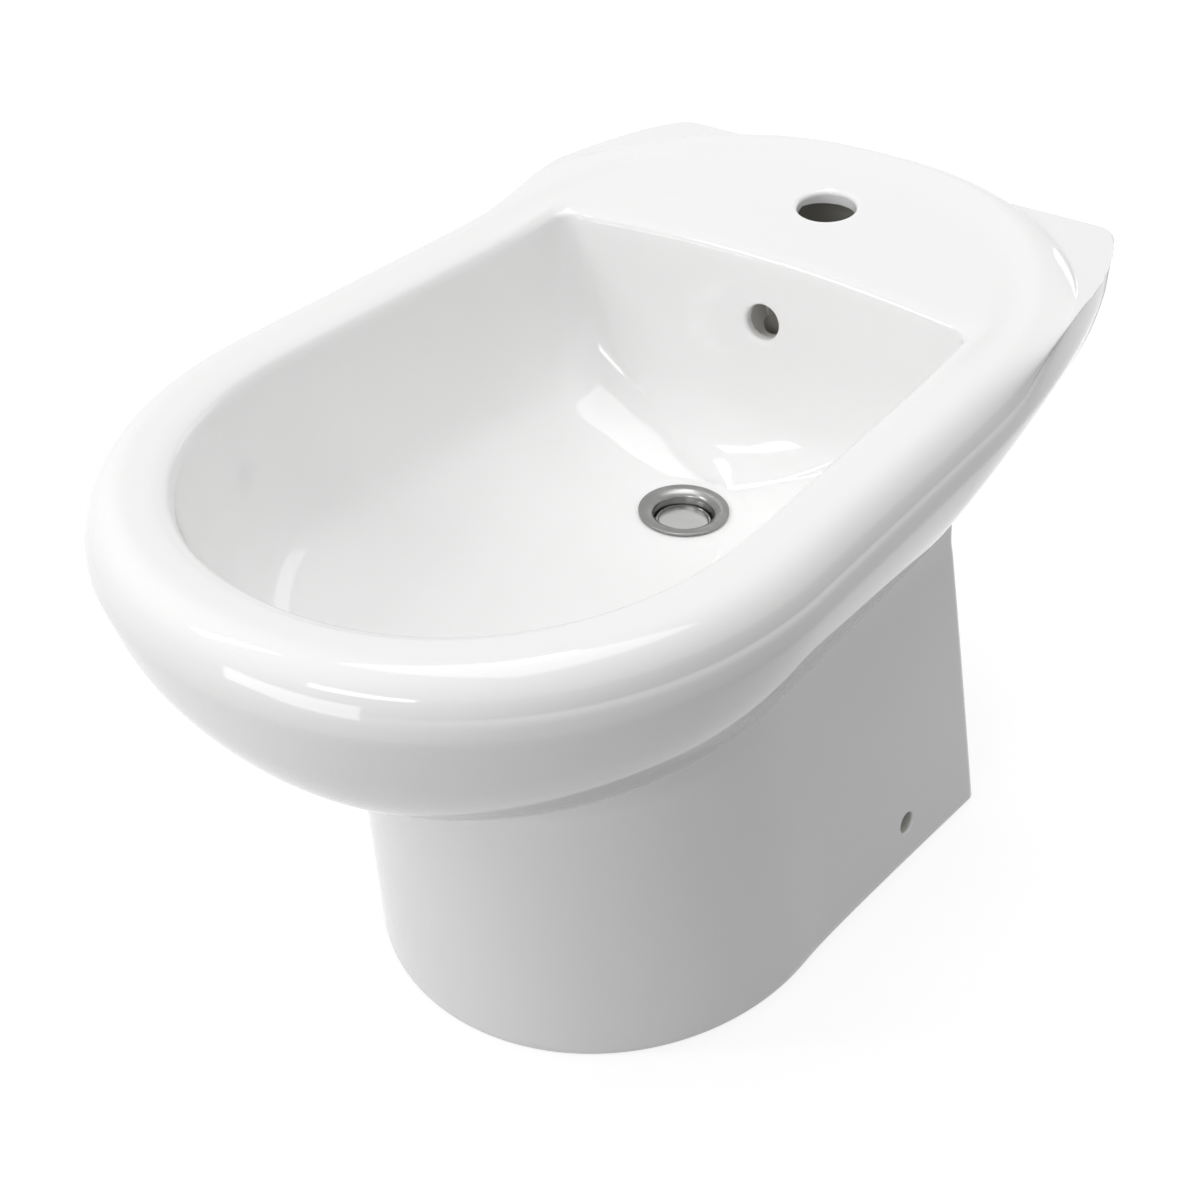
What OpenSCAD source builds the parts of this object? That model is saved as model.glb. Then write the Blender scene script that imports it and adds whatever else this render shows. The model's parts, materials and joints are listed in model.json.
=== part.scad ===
// Floor standing bidet: one vitreous china casting, a push plug waste and a bottle trap.
// Origin on the floor under the middle of the body, front towards -Y, up is +Z.

/* [Body] */
// Overall width across the widest line of the rim
body_w = 366; // [340:2:390]
// Overall length from the front of the rim to the wall face
body_l = 578; // [550:2:610]
// Height of the rim crown at the front and the sides
rim_h = 372; // [364:1:378]
// Height of the crown behind the tap hole
rear_h = 392; // [388:1:396]
// Thickness of the china
wall = 11; // [9:0.5:12]

/* [Pedestal] */
// Width of the foot where its front bend ends
foot_w = 286; // [270:2:300]
// Setback of the foot behind the front of the rim
foot_setback = 137; // [125:1:150]
// How much the foot widens towards the back, per length
foot_flare = 0.105; // [0.06:0.005:0.13]
// Distance from the wall face to the back of the foot
foot_back_gap = 80; // [70:1:90]
// Width of the pedestal under the bowl
neck_w = 240; // [228:2:250]
// Setback of the neck behind the front of the rim
neck_setback = 120; // [110:1:130]
// Distance from the wall face to the back of the neck
neck_back_gap = 84; // [76:1:92]
// Height of the neck, where the bowl starts to swell
neck_h = 206; // [196:1:212]

/* [Rim] */
// Height of the widest line of the body
widest_h = 345; // [338:1:350]
// Width of the rolled rim at the sides
rim_side_w = 44.5; // [38:0.5:48]
// Width of the rolled rim at the front
rim_front_w = 40.5; // [36:0.5:45]
// Half of the rolled rim that lies outside its crown
crown_in = 21; // [18:0.5:23]
// Drop from the crown to the inner lip
lip_drop = 13; // [9:1:18]

/* [Ledge] */
// Width of the square ledge at the wall
ledge_w = 312; // [296:2:322]
// Top of the ledge
ledge_top = 378; // [374:1:381]
// Radius of the ledge corners
ledge_r = 14; // [8:1:18]

/* [Bowl] */
// Length of the tap deck, from the wall face to the bowl
deck_l = 139.5; // [132:0.5:146]
// Height of the deck at its front edge
deck_h = 371; // [368:0.5:373]
// Height of the bowl floor at the waste
floor_h = 238; // [232:1:244]
// Distance from the wall face to the middle of the waste
waste_back = 216; // [208:1:224]
// Flat floor round the waste, as a radius
floor_r = 36; // [34:0.5:40]
// Bulge of the back of the bowl
deck_arch = 12; // [8:1:16]

/* [Holes] */
// Diameter of the tap hole
tap_d = 35; // [32:0.5:38]
// Distance from the wall face to the middle of the tap hole
tap_back = 72; // [66:1:78]
// Slope of the tap deck, in degrees
deck_slope = 7.6; // [6:0.2:9]
// Diameter of the overflow hole
overflow_d = 22; // [18:0.5:24]
// Height of the middle of the overflow hole
overflow_h = 330; // [322:1:336]
// Bore of the overflow duct
duct_d = 19; // [15:0.5:20]
// Wall of the overflow duct
duct_wall = 6; // [5:0.5:8]
// Diameter of a side fixing hole
fix_d = 14.5; // [11:0.5:16]
// Height of a side fixing hole
fix_h = 30; // [26:1:36]
// Distance from the wall face to the side fixing holes
fix_back = 166; // [158:1:178]
// Turn of a side fixing hole, which goes square through the flared side
fix_turn = 5; // [3:0.5:7]
// Width of the opening in the back
back_open_w = 184; // [168:2:190]
// Top of the opening in the back
back_open_h = 330; // [318:1:334]
// Corner radius of the opening in the back
back_open_r = 25; // [15:1:35]

/* [Waste] */
// Outer diameter of the waste tail
tail_d = 41.9; // [40:0.1:43]
// Wall of the waste tail
tail_wall = 3.4; // [2.8:0.1:3.8]
// Length of the waste tail under its flange
tail_l = 74; // [71:1:77]
// Diameter of the waste flange
flange_d = 53.6; // [52:0.2:58]
// Thickness of the flange edge
flange_t = 1.3; // [1:0.1:1.8]
// Diameter of the throat above the plug
throat_d = 35.2; // [34:0.2:36]
// Depth of the dish from the flange edge to the throat
dish_depth = 4.2; // [3.5:0.1:5]
// Depth of the straight throat
throat_depth = 8.6; // [8:0.1:10]
// Room between the tail and the waste hole, each side
tail_room = 2.3; // [1.8:0.1:3]
// Length of the boss round the waste hole, under the floor
boss_l = 41; // [36:1:44]
// Wall of the boss round the waste hole
boss_wall = 12; // [10:0.5:14]
// Thickness of the flange seal
seal_t = 0.9; // [0.6:0.1:1.4]
// Width of the overflow slots in the tail
slot_w = 12; // [9:0.5:14]
// Height of the overflow slots in the tail
slot_h = 14; // [10:0.5:16]
// Thickness of the rubber washer under the boss
boss_seal_t = 5; // [4:0.5:7]
// Thickness of the slip washer
slip_t = 2; // [1.5:0.1:2.5]
// Height of the waste nut
waste_nut_h = 10; // [8:0.5:12]
// Width of the waste nut across its flats
waste_nut_af = 54; // [52:0.5:58]

/* [Plug] */
// Diameter of the plug cap
cap_d = 33.4; // [32:0.1:33.8]
// Thickness of the cap at its edge
cap_t = 2.2; // [1.8:0.1:2.6]
// Rise of the cap from its edge to its middle
cap_dome = 1.4; // [0.8:0.1:2]
// How far the plug rises when it opens
plug_travel = 8; // [6:0.5:9]
// Diameter of the plug stem
stem_d = 7; // [6:0.1:8]
// Length of the plug stem
stem_l = 40; // [38:1:42]
// Outer diameter of the click sleeve
sleeve_d = 17; // [15.5:0.5:18]
// Thickness of a spoke of the waste cross
spoke_w = 3; // [2.4:0.1:4]
// Height of the waste cross
cross_h = 6; // [5:0.5:8]
// Wire diameter of the click spring
wire_d = 1.1; // [0.9:0.05:1.2]
// Working turns of the click spring
spring_turns = 6; // [4:1:8]

/* [Trap] */
// Outer diameter of the tail pipe and the outlet pipe
pipe_d = 32; // [30:0.2:32.6]
// Wall of the tail pipe and the outlet pipe
pipe_wall = 1.8; // [1.4:0.1:2.2]
// Height of the tail nut
tail_nut_h = 19; // [17:0.5:20]
// Thickness of the flat tail washer
tail_washer_t = 2.5; // [2:0.1:3]
// Outer diameter of the trap body
trap_d = 64; // [58:1:70]
// Wall of the trap body
trap_wall = 3; // [2.4:0.1:3.6]
// Distance from the neck of the trap down to the cup joint
trap_l = 62; // [58:1:68]
// Height of the trap inlet socket
socket_h = 15; // [13:0.5:18]
// Depth of the trap cup
cup_l = 38; // [35:1:41]
// Water seal of the trap
water_seal = 50; // [45:1:52]
// Height of the middle of the outlet
outlet_h = 108; // [104:1:112]
// Height of the trap inlet nut and the outlet nut
slip_nut_h = 14; // [12:0.5:16]
// Number of grip ribs on a plastic nut
grips = 12; // [8:2:16]
// How far the outlet pipe ends in front of the wall face
pipe_short = 4; // [2:1:12]

/* [Fits] */
// Radial room between a thread and its nut
thread_fit = 0.15; // [0.1:0.05:0.25]
// Room between a seal and a piece that moves against it
seal_fit = 0.3; // [0.25:0.05:0.4]
// Radial room of the plug stem in its sleeve
stem_fit = 0.25; // [0.2:0.05:0.35]

/* [Hidden] */
$fn = 64;

front_y = -body_l / 2;
back_y = body_l / 2;
hw = body_w / 2;
eps = 0.01;

// Stations round one half of a section: the front bend, the side, the corner and the back.
front_n = 14;
side_n = 9;
corner_n = 6;
back_n = 4;
half_n = front_n + side_n + corner_n + back_n;
ring_n = 2 * half_n;

// A section is a closed outline, symmetric about X = 0, whose height may differ front to back.
// w is its half width, c the end of the front bend, f and b its front and back reach,
// p the power of the front bend, flare and taper bend its sides, cx and cy are its corner,
// arch bulges its back, and z0 and z1 are its heights before y0 and behind y1.
function section(w, c, f, b, z0, z1, p = 2.1, flare = 0, taper = 0, cx = 12, cy = 12,
    arch = 0, y0 = 57, y1 = 197) = [w, c, f, b, z0, z1, p, flare, taper, cx, cy, arch, y0, y1];

function mix(a, b, t) = a + (b - a) * t;
function unit(t) = min(1, max(0, t));
function smooth(t) = unit(t) * unit(t) * (3 - 2 * unit(t));

// Half width of section s at y: widened by its flare, then narrowed towards the wall.
flare_run = 40;
taper_y = 57;
function half_at(s, y) = s[0]
    + s[7] * pow(max(0, y - s[1]), 2) / (max(0, y - s[1]) + flare_run)
    - s[8] * pow(max(0, y - taper_y), 2);

function half_outline(s) =
    let (yc = s[3] - s[11] - s[10], xc = half_at(s, yc) - s[9])
    concat(
        [for (i = [0 : front_n - 1]) let (a = 90 * i / front_n)
            [s[0] * pow(sin(a), 2 / s[6]), s[1] - (s[1] - s[2]) * pow(cos(a), 2 / s[6])]],
        [for (i = [0 : side_n - 1]) let (y = mix(s[1], yc, i / side_n)) [half_at(s, y), y]],
        [for (i = [0 : corner_n - 1]) let (a = 90 * i / corner_n)
            [xc + s[9] * cos(a), yc + s[10] * sin(a)]],
        [for (i = [0 : back_n]) let (t = 1 - i / back_n)
            [xc * t, yc + s[10] + s[11] * (1 - t * t)]]);

function ring(s) =
    let (h = half_outline(s))
    [for (i = [0 : ring_n - 1])
        let (k = i <= half_n ? i : ring_n - i, side = i <= half_n ? 1 : -1, y = h[k][1])
        [side * h[k][0], y, mix(s[4], s[5], smooth((y - s[12]) / (s[13] - s[12])))]];

// Sections between the given ones, on a smooth curve through them.
function curve(list, steps) =
    let (m = len(list) - 1)
    concat([for (i = [0 : m - 1], j = [0 : steps - 1])
        let (t = j / steps, p1 = list[i], p2 = list[i + 1],
            p0 = i > 0 ? list[i - 1] : 2 * p1 - p2, p3 = i < m - 1 ? list[i + 2] : 2 * p2 - p1)
        (2 * p1 + (p2 - p0) * t + (2 * p0 - 5 * p1 + 4 * p2 - p3) * t * t
            + (3 * p1 - p0 - 3 * p2 + p3) * t * t * t) / 2],
        [list[m]]);

// Outside of the pedestal and the bowl, from the floor to the widest line.
neck = section(neck_w / 2, -7, front_y + neck_setback, back_y - neck_back_gap, neck_h, neck_h,
    p = 2.1, flare = -0.02);
foot = section(foot_w / 2, 7, front_y + foot_setback, back_y - foot_back_gap, 0, 0,
    p = 2, flare = foot_flare);
rim_c = front_y + 196;
ledge_taper = (hw - ledge_w / 2) / pow(back_y - ledge_r - taper_y, 2);
widest = section(hw, rim_c, front_y, back_y, widest_h, widest_h,
    taper = ledge_taper, cx = ledge_r, cy = ledge_r);

// Shares of the way from the neck to the widest line: side, front, back, height, height at the back.
belly_shares = [[0.02, 0.09, 0.07, 0.12, 0.14], [0.26, 0.42, 0.29, 0.26, 0.39],
    [0.57, 0.73, 0.57, 0.48, 0.62], [0.85, 0.93, 0.86, 0.76, 0.83]];
belly_corner = 13;
function belly_section(v, skin) = section(
    mix(neck[0], hw, v[0]) - skin, mix(neck[1], rim_c, v[1]),
    mix(neck[2], front_y, v[1]) + skin, mix(neck[3], back_y, v[2]) - skin,
    mix(neck_h, widest_h, v[3]) - skin / 3, mix(neck_h, widest_h, v[4]) - skin / 3,
    flare = mix(-0.02, 0, v[0]), taper = ledge_taper * v[0] * v[0],
    cx = 12 + belly_corner * sin(180 * v[3]), cy = 12 + belly_corner * sin(180 * v[3]));
belly = [for (v = belly_shares) belly_section(v, 0)];

// Rolled rim: its outer half climbs to the crown, its inner half falls to the lip.
// Behind the bowl it leaves the ledge, bends round the deck and rises with it.
rise = rim_h - widest_h;
bend_y0 = 92;
bend_y1 = 330;
function reach(z0, z, y, y0, y1) = z0 + (z - z0) / smooth((y - y0) / (y1 - y0));
function roll_out(a, b, z1, cx, cy, taper = 0, y0 = 97, y1 = 187) = section(
    hw - crown_in * (1 - cos(a)), rim_c, front_y + crown_in * 0.95 * (1 - cos(a)), b,
    widest_h + rise * sin(a), z1, taper = taper, cx = cx, cy = cy, y0 = y0, y1 = y1);
ledge_edge = roll_out(22, back_y, ledge_top, ledge_r, ledge_r, ledge_taper);
rim_foot = roll_out(42, back_y - 0.5, ledge_top + 0.6, 150, 150);
rim_outer = roll_out(65, back_y - 2, rear_h - 3, 155, 152, ledge_taper, 85, 300);
crown = section(hw - crown_in, rim_c, front_y + 0.95 * crown_in, back_y - 8, rim_h,
    reach(rim_h, rear_h, back_y - 8, bend_y0, bend_y1), cx = 156, cy = 154, y0 = bend_y0, y1 = bend_y1);

// Tap deck: from the crown down its slope to the bowl.
deck_y = back_y - deck_l;
lip_w = hw - rim_side_w;
lip_f = front_y + rim_front_w;
function deck_at(y) = deck_h + tan(deck_slope) * (y - deck_y);
deck_mid_y = back_y - 32;
deck_mid = section(mix(hw - crown_in, lip_w, 0.5), rim_c, mix(front_y + crown_in, lip_f, 0.5),
    deck_mid_y, rim_h - 0.07 * lip_drop,
    reach(rim_h - 0.07 * lip_drop, deck_at(deck_mid_y), deck_mid_y, 100, bend_y1), cx = 140, cy = 125,
    y0 = 100, y1 = bend_y1);
deck_edge = section(lip_w + 2.8, rim_c, lip_f - 2.8, deck_y + 5, rim_h - 0.3 * lip_drop, deck_h,
    flare = -0.02, cx = 18, cy = 17, arch = deck_arch, y0 = 60, y1 = 150);
lip = section(lip_w, rim_c, lip_f, deck_y, rim_h - lip_drop, deck_h - 4.5,
    flare = -0.02, cx = 15, cy = 14, arch = deck_arch, y0 = 60, y1 = 150);

// Bowl: shares of the way from the lip to the waste: side, front, back, depth, corner radius.
waste_y = back_y - waste_back;
bowl_shares = [[0.03, 0.01, 0.01, 0.17, 17], [0.07, 0.025, 0.02, 0.37, 21],
    [0.13, 0.055, 0.07, 0.56, 29], [0.24, 0.115, 0.22, 0.72, 38], [0.43, 0.225, 0.5, 0.845, 44],
    [0.67, 0.42, 0.78, 0.925, 42], [0.88, 0.73, 0.94, 0.975, 36]];
function bowl_section(v, skin, drop) = section(
    mix(lip_w, floor_r, v[0]) + skin, mix(rim_c, waste_y - 3, v[1]),
    mix(lip_f, waste_y - floor_r, v[1]) - skin, mix(deck_y, waste_y + floor_r, v[2]) + skin,
    mix(lip[4], floor_h, v[3]) - drop, mix(lip[5], floor_h, v[3]) - drop,
    p = mix(2.1, 2, v[0]), flare = mix(-0.02, 0, v[0]), cx = v[4] + skin / 2, cy = v[4] + skin / 2,
    arch = deck_arch * (1 - v[2]), y0 = 60, y1 = 150);
bowl_end = section(floor_r, waste_y - 3, waste_y - floor_r, waste_y + floor_r, floor_h, floor_h,
    p = 2, cx = floor_r - 2, cy = floor_r - 2);
bowl = [for (v = bowl_shares) bowl_section(v, 0, 0)];

// Hollow side of the casting: up inside the pedestal, over under the rim and the deck,
// and down under the bowl to the waste.
foot_in = section(foot[0] - wall, foot[1], foot[2] + wall, foot[3] - wall, 0, 0,
    p = 2, flare = foot_flare);
neck_in = section(neck[0] - wall, neck[1], neck[2] + wall, neck[3] - wall, neck_h, neck_h,
    p = 2.1, flare = -0.02);
cheek_z = mix(neck_h, widest_h, 0.6);
cheek_out = section(mix(neck[0], hw, 0.72) - wall, rim_c, mix(neck[2], front_y, 0.83) + wall,
    back_y - wall, cheek_z, widest_h, taper = ledge_taper * 0.9);
cheek_in_w = mix(lip_w, floor_r, 0.1) + wall;
cheek_in_f = mix(lip_f, waste_y - floor_r, 0.05) - wall;
cheek_back = back_y - 1.8 * wall;
cheek_top = section((cheek_out[0] + cheek_in_w) / 2, rim_c, (cheek_out[2] + cheek_in_f) / 2,
    cheek_back, cheek_z + 7, deck_at(cheek_back) - 1.35 * wall,
    taper = ledge_taper * 0.8, cx = 20, cy = 20, y1 = cheek_back);
cheek_in = section(cheek_in_w, rim_c, cheek_in_f, deck_y + 1.6 * wall, cheek_z,
    deck_at(deck_y) - 0.55 * wall, flare = -0.02, cx = 22, cy = 22, arch = deck_arch);
under_end = section(floor_r + wall, waste_y - 3, waste_y - floor_r - wall, waste_y + floor_r + wall,
    floor_h - wall, floor_h - wall, p = 2, cx = floor_r + wall - 2, cy = floor_r + wall - 2);
under = [for (i = [2 : len(bowl_shares) - 1])
    bowl_section(bowl_shares[i], wall, mix(3, wall, (i - 1) / (len(bowl_shares) - 2)))];

skin_sections = concat(
    curve(concat([under_end], [for (i = [len(under) - 1 : -1 : 0]) under[i]], [cheek_in]), 1),
    [cheek_top, cheek_out],
    [for (i = [2 : -1 : 0]) belly_section(belly_shares[i], wall)],
    [neck_in, foot_in],
    curve([foot, neck], 3),
    curve(concat(belly, [widest]), 2),
    [ledge_edge, rim_foot, rim_outer, crown, deck_mid, deck_edge, lip],
    curve(concat(bowl, [bowl_end]), 2));

module casting() {
    rings = [for (s = skin_sections) ring(s)];
    last = len(rings) - 1;
    sides = [for (i = [0 : last - 1], j = [0 : ring_n - 1])
        let (a = i * ring_n + j, b = i * ring_n + (j + 1) % ring_n, c = a + ring_n, d = b + ring_n)
        each [[a, c, b], [b, c, d]]];
    polyhedron(
        points = [for (r = rings) each r],
        faces = concat([[for (j = [0 : ring_n - 1]) j]], sides,
            [[for (j = [ring_n - 1 : -1 : 0]) last * ring_n + j]]),
        convexity = 12);
}

waste_hole_r = tail_d / 2 + tail_room;
boss_z = floor_h - boss_l;
duct_r = duct_d / 2;
duct_y = deck_y + wall + duct_r + 1;
duct_foot_z = boss_z + duct_r + duct_wall;

module duct_shell() {
    r = duct_r + duct_wall;
    translate([0, duct_y, duct_foot_z])
        cylinder(r = r, h = overflow_h + duct_r + duct_wall - duct_foot_z);
    translate([0, duct_y, duct_foot_z]) sphere(r = r);
    translate([0, waste_y, duct_foot_z]) rotate([-90, 0, 0]) cylinder(r = r, h = duct_y - waste_y);
}

module duct_bore() {
    translate([0, duct_y, duct_foot_z]) cylinder(r = duct_r, h = overflow_h - duct_foot_z);
    translate([0, duct_y, overflow_h]) sphere(r = duct_r);
    translate([0, deck_y, overflow_h]) rotate([-90, 0, 0]) cylinder(r = duct_r, h = duct_y - deck_y);
    translate([0, duct_y, duct_foot_z]) sphere(r = duct_r);
    translate([0, waste_y, duct_foot_z]) rotate([-90, 0, 0]) cylinder(r = duct_r, h = duct_y - waste_y);
}

module back_opening() {
    half = back_open_w / 2;
    depth = foot_back_gap + wall + 30;
    translate([-half, back_y - depth, -1]) cube([back_open_w, depth + 1, back_open_h + 1 - back_open_r]);
    translate([-half + back_open_r, back_y - depth, 0])
        cube([back_open_w - 2 * back_open_r, depth + 1, back_open_h]);
    for (side = [-1, 1])
        translate([side * (half - back_open_r), back_y + 1, back_open_h - back_open_r])
            rotate([90, 0, 0]) cylinder(r = back_open_r, h = depth + 1);
}

tap_y = back_y - tap_back;
fix_y = back_y - fix_back;
fix_x = half_at(foot + (neck - foot) * fix_h / neck_h, fix_y) - wall / 2;
module ceramic_body() {
    color("whitesmoke") difference() {
        union() {
            difference() {
                casting();
                back_opening();
            }
            translate([0, waste_y, boss_z]) cylinder(r = waste_hole_r + boss_wall, h = boss_l - wall / 2);
            duct_shell();
        }
        duct_bore();
        translate([0, waste_y, boss_z - 1]) cylinder(r = waste_hole_r, h = boss_l + 2);
        translate([0, deck_y - 20, overflow_h]) rotate([-90, 0, 0])
            cylinder(d = overflow_d, h = 20 + 0.6 * wall);
        translate([0, tap_y, deck_at(tap_y)]) rotate([deck_slope, 0, 0])
            translate([0, 0, -3 * wall]) cylinder(d = tap_d, h = 4 * wall);
        for (side = [-1, 1])
            translate([side * fix_x, fix_y, fix_h]) rotate([0, 90, -side * fix_turn])
                translate([0, 0, -1.5 * wall]) cylinder(d = fix_d, h = 3 * wall);
    }
}

// Waste: every height hangs from the flange, which lies on its seal on the bowl floor.
flange_z = floor_h + seal_t;
edge_z = flange_z + flange_t;
tail_r = tail_d / 2;
tail_z = flange_z - tail_l;
bore_r = tail_r - tail_wall;
throat_r = throat_d / 2;
throat_z = edge_z - dish_depth;
seat_z = throat_z - throat_depth;
seat_r = throat_r - 3.2;
seat_t = 3;
seat_rise = 1;
slot_z = boss_z + 7;
cross_z = slot_z - 11;
sleeve_r = sleeve_d / 2;
hub_r = sleeve_r + 3;

module waste_body() {
    color("darkgray") translate([0, waste_y, 0]) {
        difference() {
            rotate_extrude() polygon(concat(
                [[bore_r, tail_z], [tail_r, tail_z], [tail_r, flange_z], [flange_d / 2, flange_z],
                    [flange_d / 2, edge_z - 0.4], [flange_d / 2 - 0.5, edge_z]],
                [for (i = [0 : 5]) let (a = 90 * i / 5)
                    [mix(flange_d / 2 - 2.5, throat_r, sin(a)), throat_z + dish_depth * cos(a)]],
                [[throat_r, seat_z + seat_rise], [seat_r, seat_z], [seat_r, seat_z - seat_t],
                    [bore_r, seat_z - seat_t - 2]]));
            for (k = [0 : 3]) rotate([0, 0, 45 + 90 * k])
                translate([0, -slot_w / 2, slot_z]) cube([tail_d, slot_w, slot_h]);
        }
        difference() {
            union() {
                translate([0, 0, cross_z]) cylinder(r = hub_r, h = cross_h);
                for (k = [0 : 2]) rotate([0, 0, 120 * k])
                    translate([0, -spoke_w / 2, cross_z])
                        cube([bore_r + tail_wall / 2, spoke_w, cross_h]);
            }
            translate([0, 0, cross_z - 1]) cylinder(r = sleeve_r + thread_fit, h = cross_h + 2);
        }
    }
}

module flange_seal() {
    color("dimgray") translate([0, waste_y, floor_h]) difference() {
        cylinder(r = flange_d / 2 - 1.2, h = seal_t);
        translate([0, 0, -1]) cylinder(r = tail_r + thread_fit, h = seal_t + 2);
    }
}

module boss_seal() {
    r = waste_hole_r;
    color("dimgray") translate([0, waste_y, boss_z]) rotate_extrude() polygon([
        [tail_r + thread_fit, 1.6], [r - 0.3, 1.6], [r - 0.3, 0], [r + 7, 0], [r + 7, -boss_seal_t + 1],
        [r + 6, -boss_seal_t], [tail_r + thread_fit, -boss_seal_t]]);
}

module slip_washer() {
    color("white") translate([0, waste_y, boss_z - boss_seal_t - slip_t]) difference() {
        cylinder(r = waste_hole_r + 6, h = slip_t);
        translate([0, 0, -1]) cylinder(r = tail_r + 0.3, h = slip_t + 2);
    }
}

waste_nut_z = boss_z - boss_seal_t - slip_t - waste_nut_h;
module waste_nut() {
    color("goldenrod") translate([0, waste_y, waste_nut_z]) difference() {
        union() {
            cylinder(d = waste_nut_af / cos(30), h = waste_nut_h - 2, $fn = 6);
            translate([0, 0, waste_nut_h - 2]) cylinder(d = waste_nut_af, h = 2);
        }
        translate([0, 0, -1]) cylinder(r = tail_r + thread_fit, h = waste_nut_h + 2);
    }
}

// Plug: the cap rests over its seat, on a stem that slides in the click sleeve.
plug_seal_t = 2;
cap_r = cap_d / 2;
plug_seal_r = cap_r - 1.2;
seal_rise = seat_rise * (plug_seal_r - seat_r) / (throat_r - seat_r);
cap_z = seat_z + seal_rise + seal_fit + plug_seal_t;
cap_edge_z = cap_z + cap_t;
stem_top = cap_edge_z - 0.6;
stem_z = stem_top - stem_l;
stem_r = stem_d / 2;
collar_r = sleeve_r - 2.4;

module plug_cap() {
    dome_r = (cap_r * cap_r + cap_dome * cap_dome) / (2 * cap_dome);
    color("silver") translate([0, waste_y, 0]) rotate_extrude() polygon(concat(
        [[stem_r, cap_z], [cap_r - 0.5, cap_z], [cap_r, cap_z + 0.5]],
        [for (i = [0 : 8]) let (x = cap_r * (1 - i / 8))
            [x, cap_edge_z + cap_dome - dome_r + sqrt(dome_r * dome_r - x * x)]],
        [[0, stem_top], [stem_r, stem_top]]));
}

module plug_seal() {
    color("black") translate([0, waste_y, cap_z - plug_seal_t]) difference() {
        cylinder(r = plug_seal_r, h = plug_seal_t);
        translate([0, 0, -1]) cylinder(r = stem_r, h = plug_seal_t + 2);
    }
}

collar_z = cross_z + cross_h + 6;
collar_t = 3;
module plug_stem() {
    color("silver") translate([0, waste_y, 0]) {
        translate([0, 0, stem_z]) cylinder(r = stem_r, h = stem_l);
        translate([0, 0, collar_z]) cylinder(r = collar_r, h = collar_t);
    }
}

// Sleeve: screwed down into the cross, with the spring and the collar of the stem shut in it.
sleeve_z = cross_z - 3;
sleeve_floor = 2.5;
lid_t = 2.5;
lid_lap = 3;
stop_gap = 1;
sleeve_l = collar_z + collar_t + plug_travel + stop_gap + lid_lap - sleeve_z;
module click_sleeve() {
    color("ghostwhite") translate([0, waste_y, sleeve_z]) difference() {
        union() {
            cylinder(r = sleeve_r, h = sleeve_l);
            translate([0, 0, cross_z + cross_h - sleeve_z + eps]) cylinder(r = sleeve_r + 2, h = 2.5);
        }
        translate([0, 0, sleeve_floor]) cylinder(r = collar_r + stem_fit, h = sleeve_l);
        translate([0, 0, -1]) cylinder(r = stem_r + stem_fit, h = sleeve_l + 2);
    }
}

module sleeve_lid() {
    color("whitesmoke") translate([0, waste_y, sleeve_z + sleeve_l]) difference() {
        union() {
            translate([0, 0, -lid_lap]) cylinder(r = collar_r + stem_fit, h = lid_lap + eps);
            cylinder(r = sleeve_r, h = lid_t);
        }
        translate([0, 0, -lid_lap - 1]) cylinder(r = stem_r + stem_fit, h = lid_lap + lid_t + 2);
    }
}

// Helical spring between the sleeve floor and the collar of the stem.
spring_z = sleeve_z + sleeve_floor;
spring_h = collar_z - spring_z;
spring_r = (stem_r + collar_r) / 2;
module click_spring() {
    steps = 14;
    n = steps * spring_turns;
    sides = 6;
    rise_z = spring_h - wire_d - 0.2;
    pts = [for (i = [0 : n], k = [0 : sides - 1])
        let (a = 360 * i / steps, b = 360 * k / sides, r = spring_r + wire_d / 2 * cos(b))
        [r * cos(a), r * sin(a), 0.1 + wire_d / 2 + rise_z * i / n + wire_d / 2 * sin(b)]];
    tube = [for (i = [0 : n - 1], k = [0 : sides - 1])
        let (a = i * sides + k, b = i * sides + (k + 1) % sides)
        each [[a, b, a + sides], [b, b + sides, a + sides]]];
    color("silver") translate([0, waste_y, spring_z]) polyhedron(points = pts,
        faces = concat([[for (k = [sides - 1 : -1 : 0]) k]], tube, [[for (k = [0 : sides - 1]) n * sides + k]]),
        convexity = 10);
}

// A plastic nut: a ring with grip ribs round it, open at both ends.
module ribbed_nut(r, h, bore) {
    difference() {
        union() {
            cylinder(r = r, h = h);
            for (k = [0 : grips - 1]) rotate([0, 0, 360 * k / grips])
                translate([r - 1, -2, 0]) cube([3, 4, h - 2]);
        }
        translate([0, 0, -1]) cylinder(r = bore, h = h + 2);
    }
}

// Trap: a bottle trap hung from the waste tail.
pipe_r = pipe_d / 2;
tail_nut_lip = 3;
pipe_flange_t = 2;
tail_nut_z = tail_z - tail_washer_t - pipe_flange_t - tail_nut_lip;

module tail_nut() {
    color("white") translate([0, waste_y, tail_nut_z]) difference() {
        ribbed_nut(tail_r + 4, tail_nut_h, pipe_r + 0.3);
        translate([0, 0, tail_nut_lip]) cylinder(r = tail_r + thread_fit, h = tail_nut_h);
    }
}

module tail_washer() {
    color("dimgray") translate([0, waste_y, tail_z - tail_washer_t]) difference() {
        cylinder(r = tail_r - 0.5, h = tail_washer_t);
        translate([0, 0, -1]) cylinder(r = pipe_r - pipe_wall, h = tail_washer_t + 2);
    }
}

// Heights of the trap, from the middle of the outlet.
trap_r = trap_d / 2;
trap_top = outlet_h + pipe_r + trap_wall + 5;
trap_z = trap_top - trap_l;
dip_z = outlet_h - pipe_r + pipe_wall - water_seal;
socket_r = pipe_r + 5;
cone_t = 4;

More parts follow.
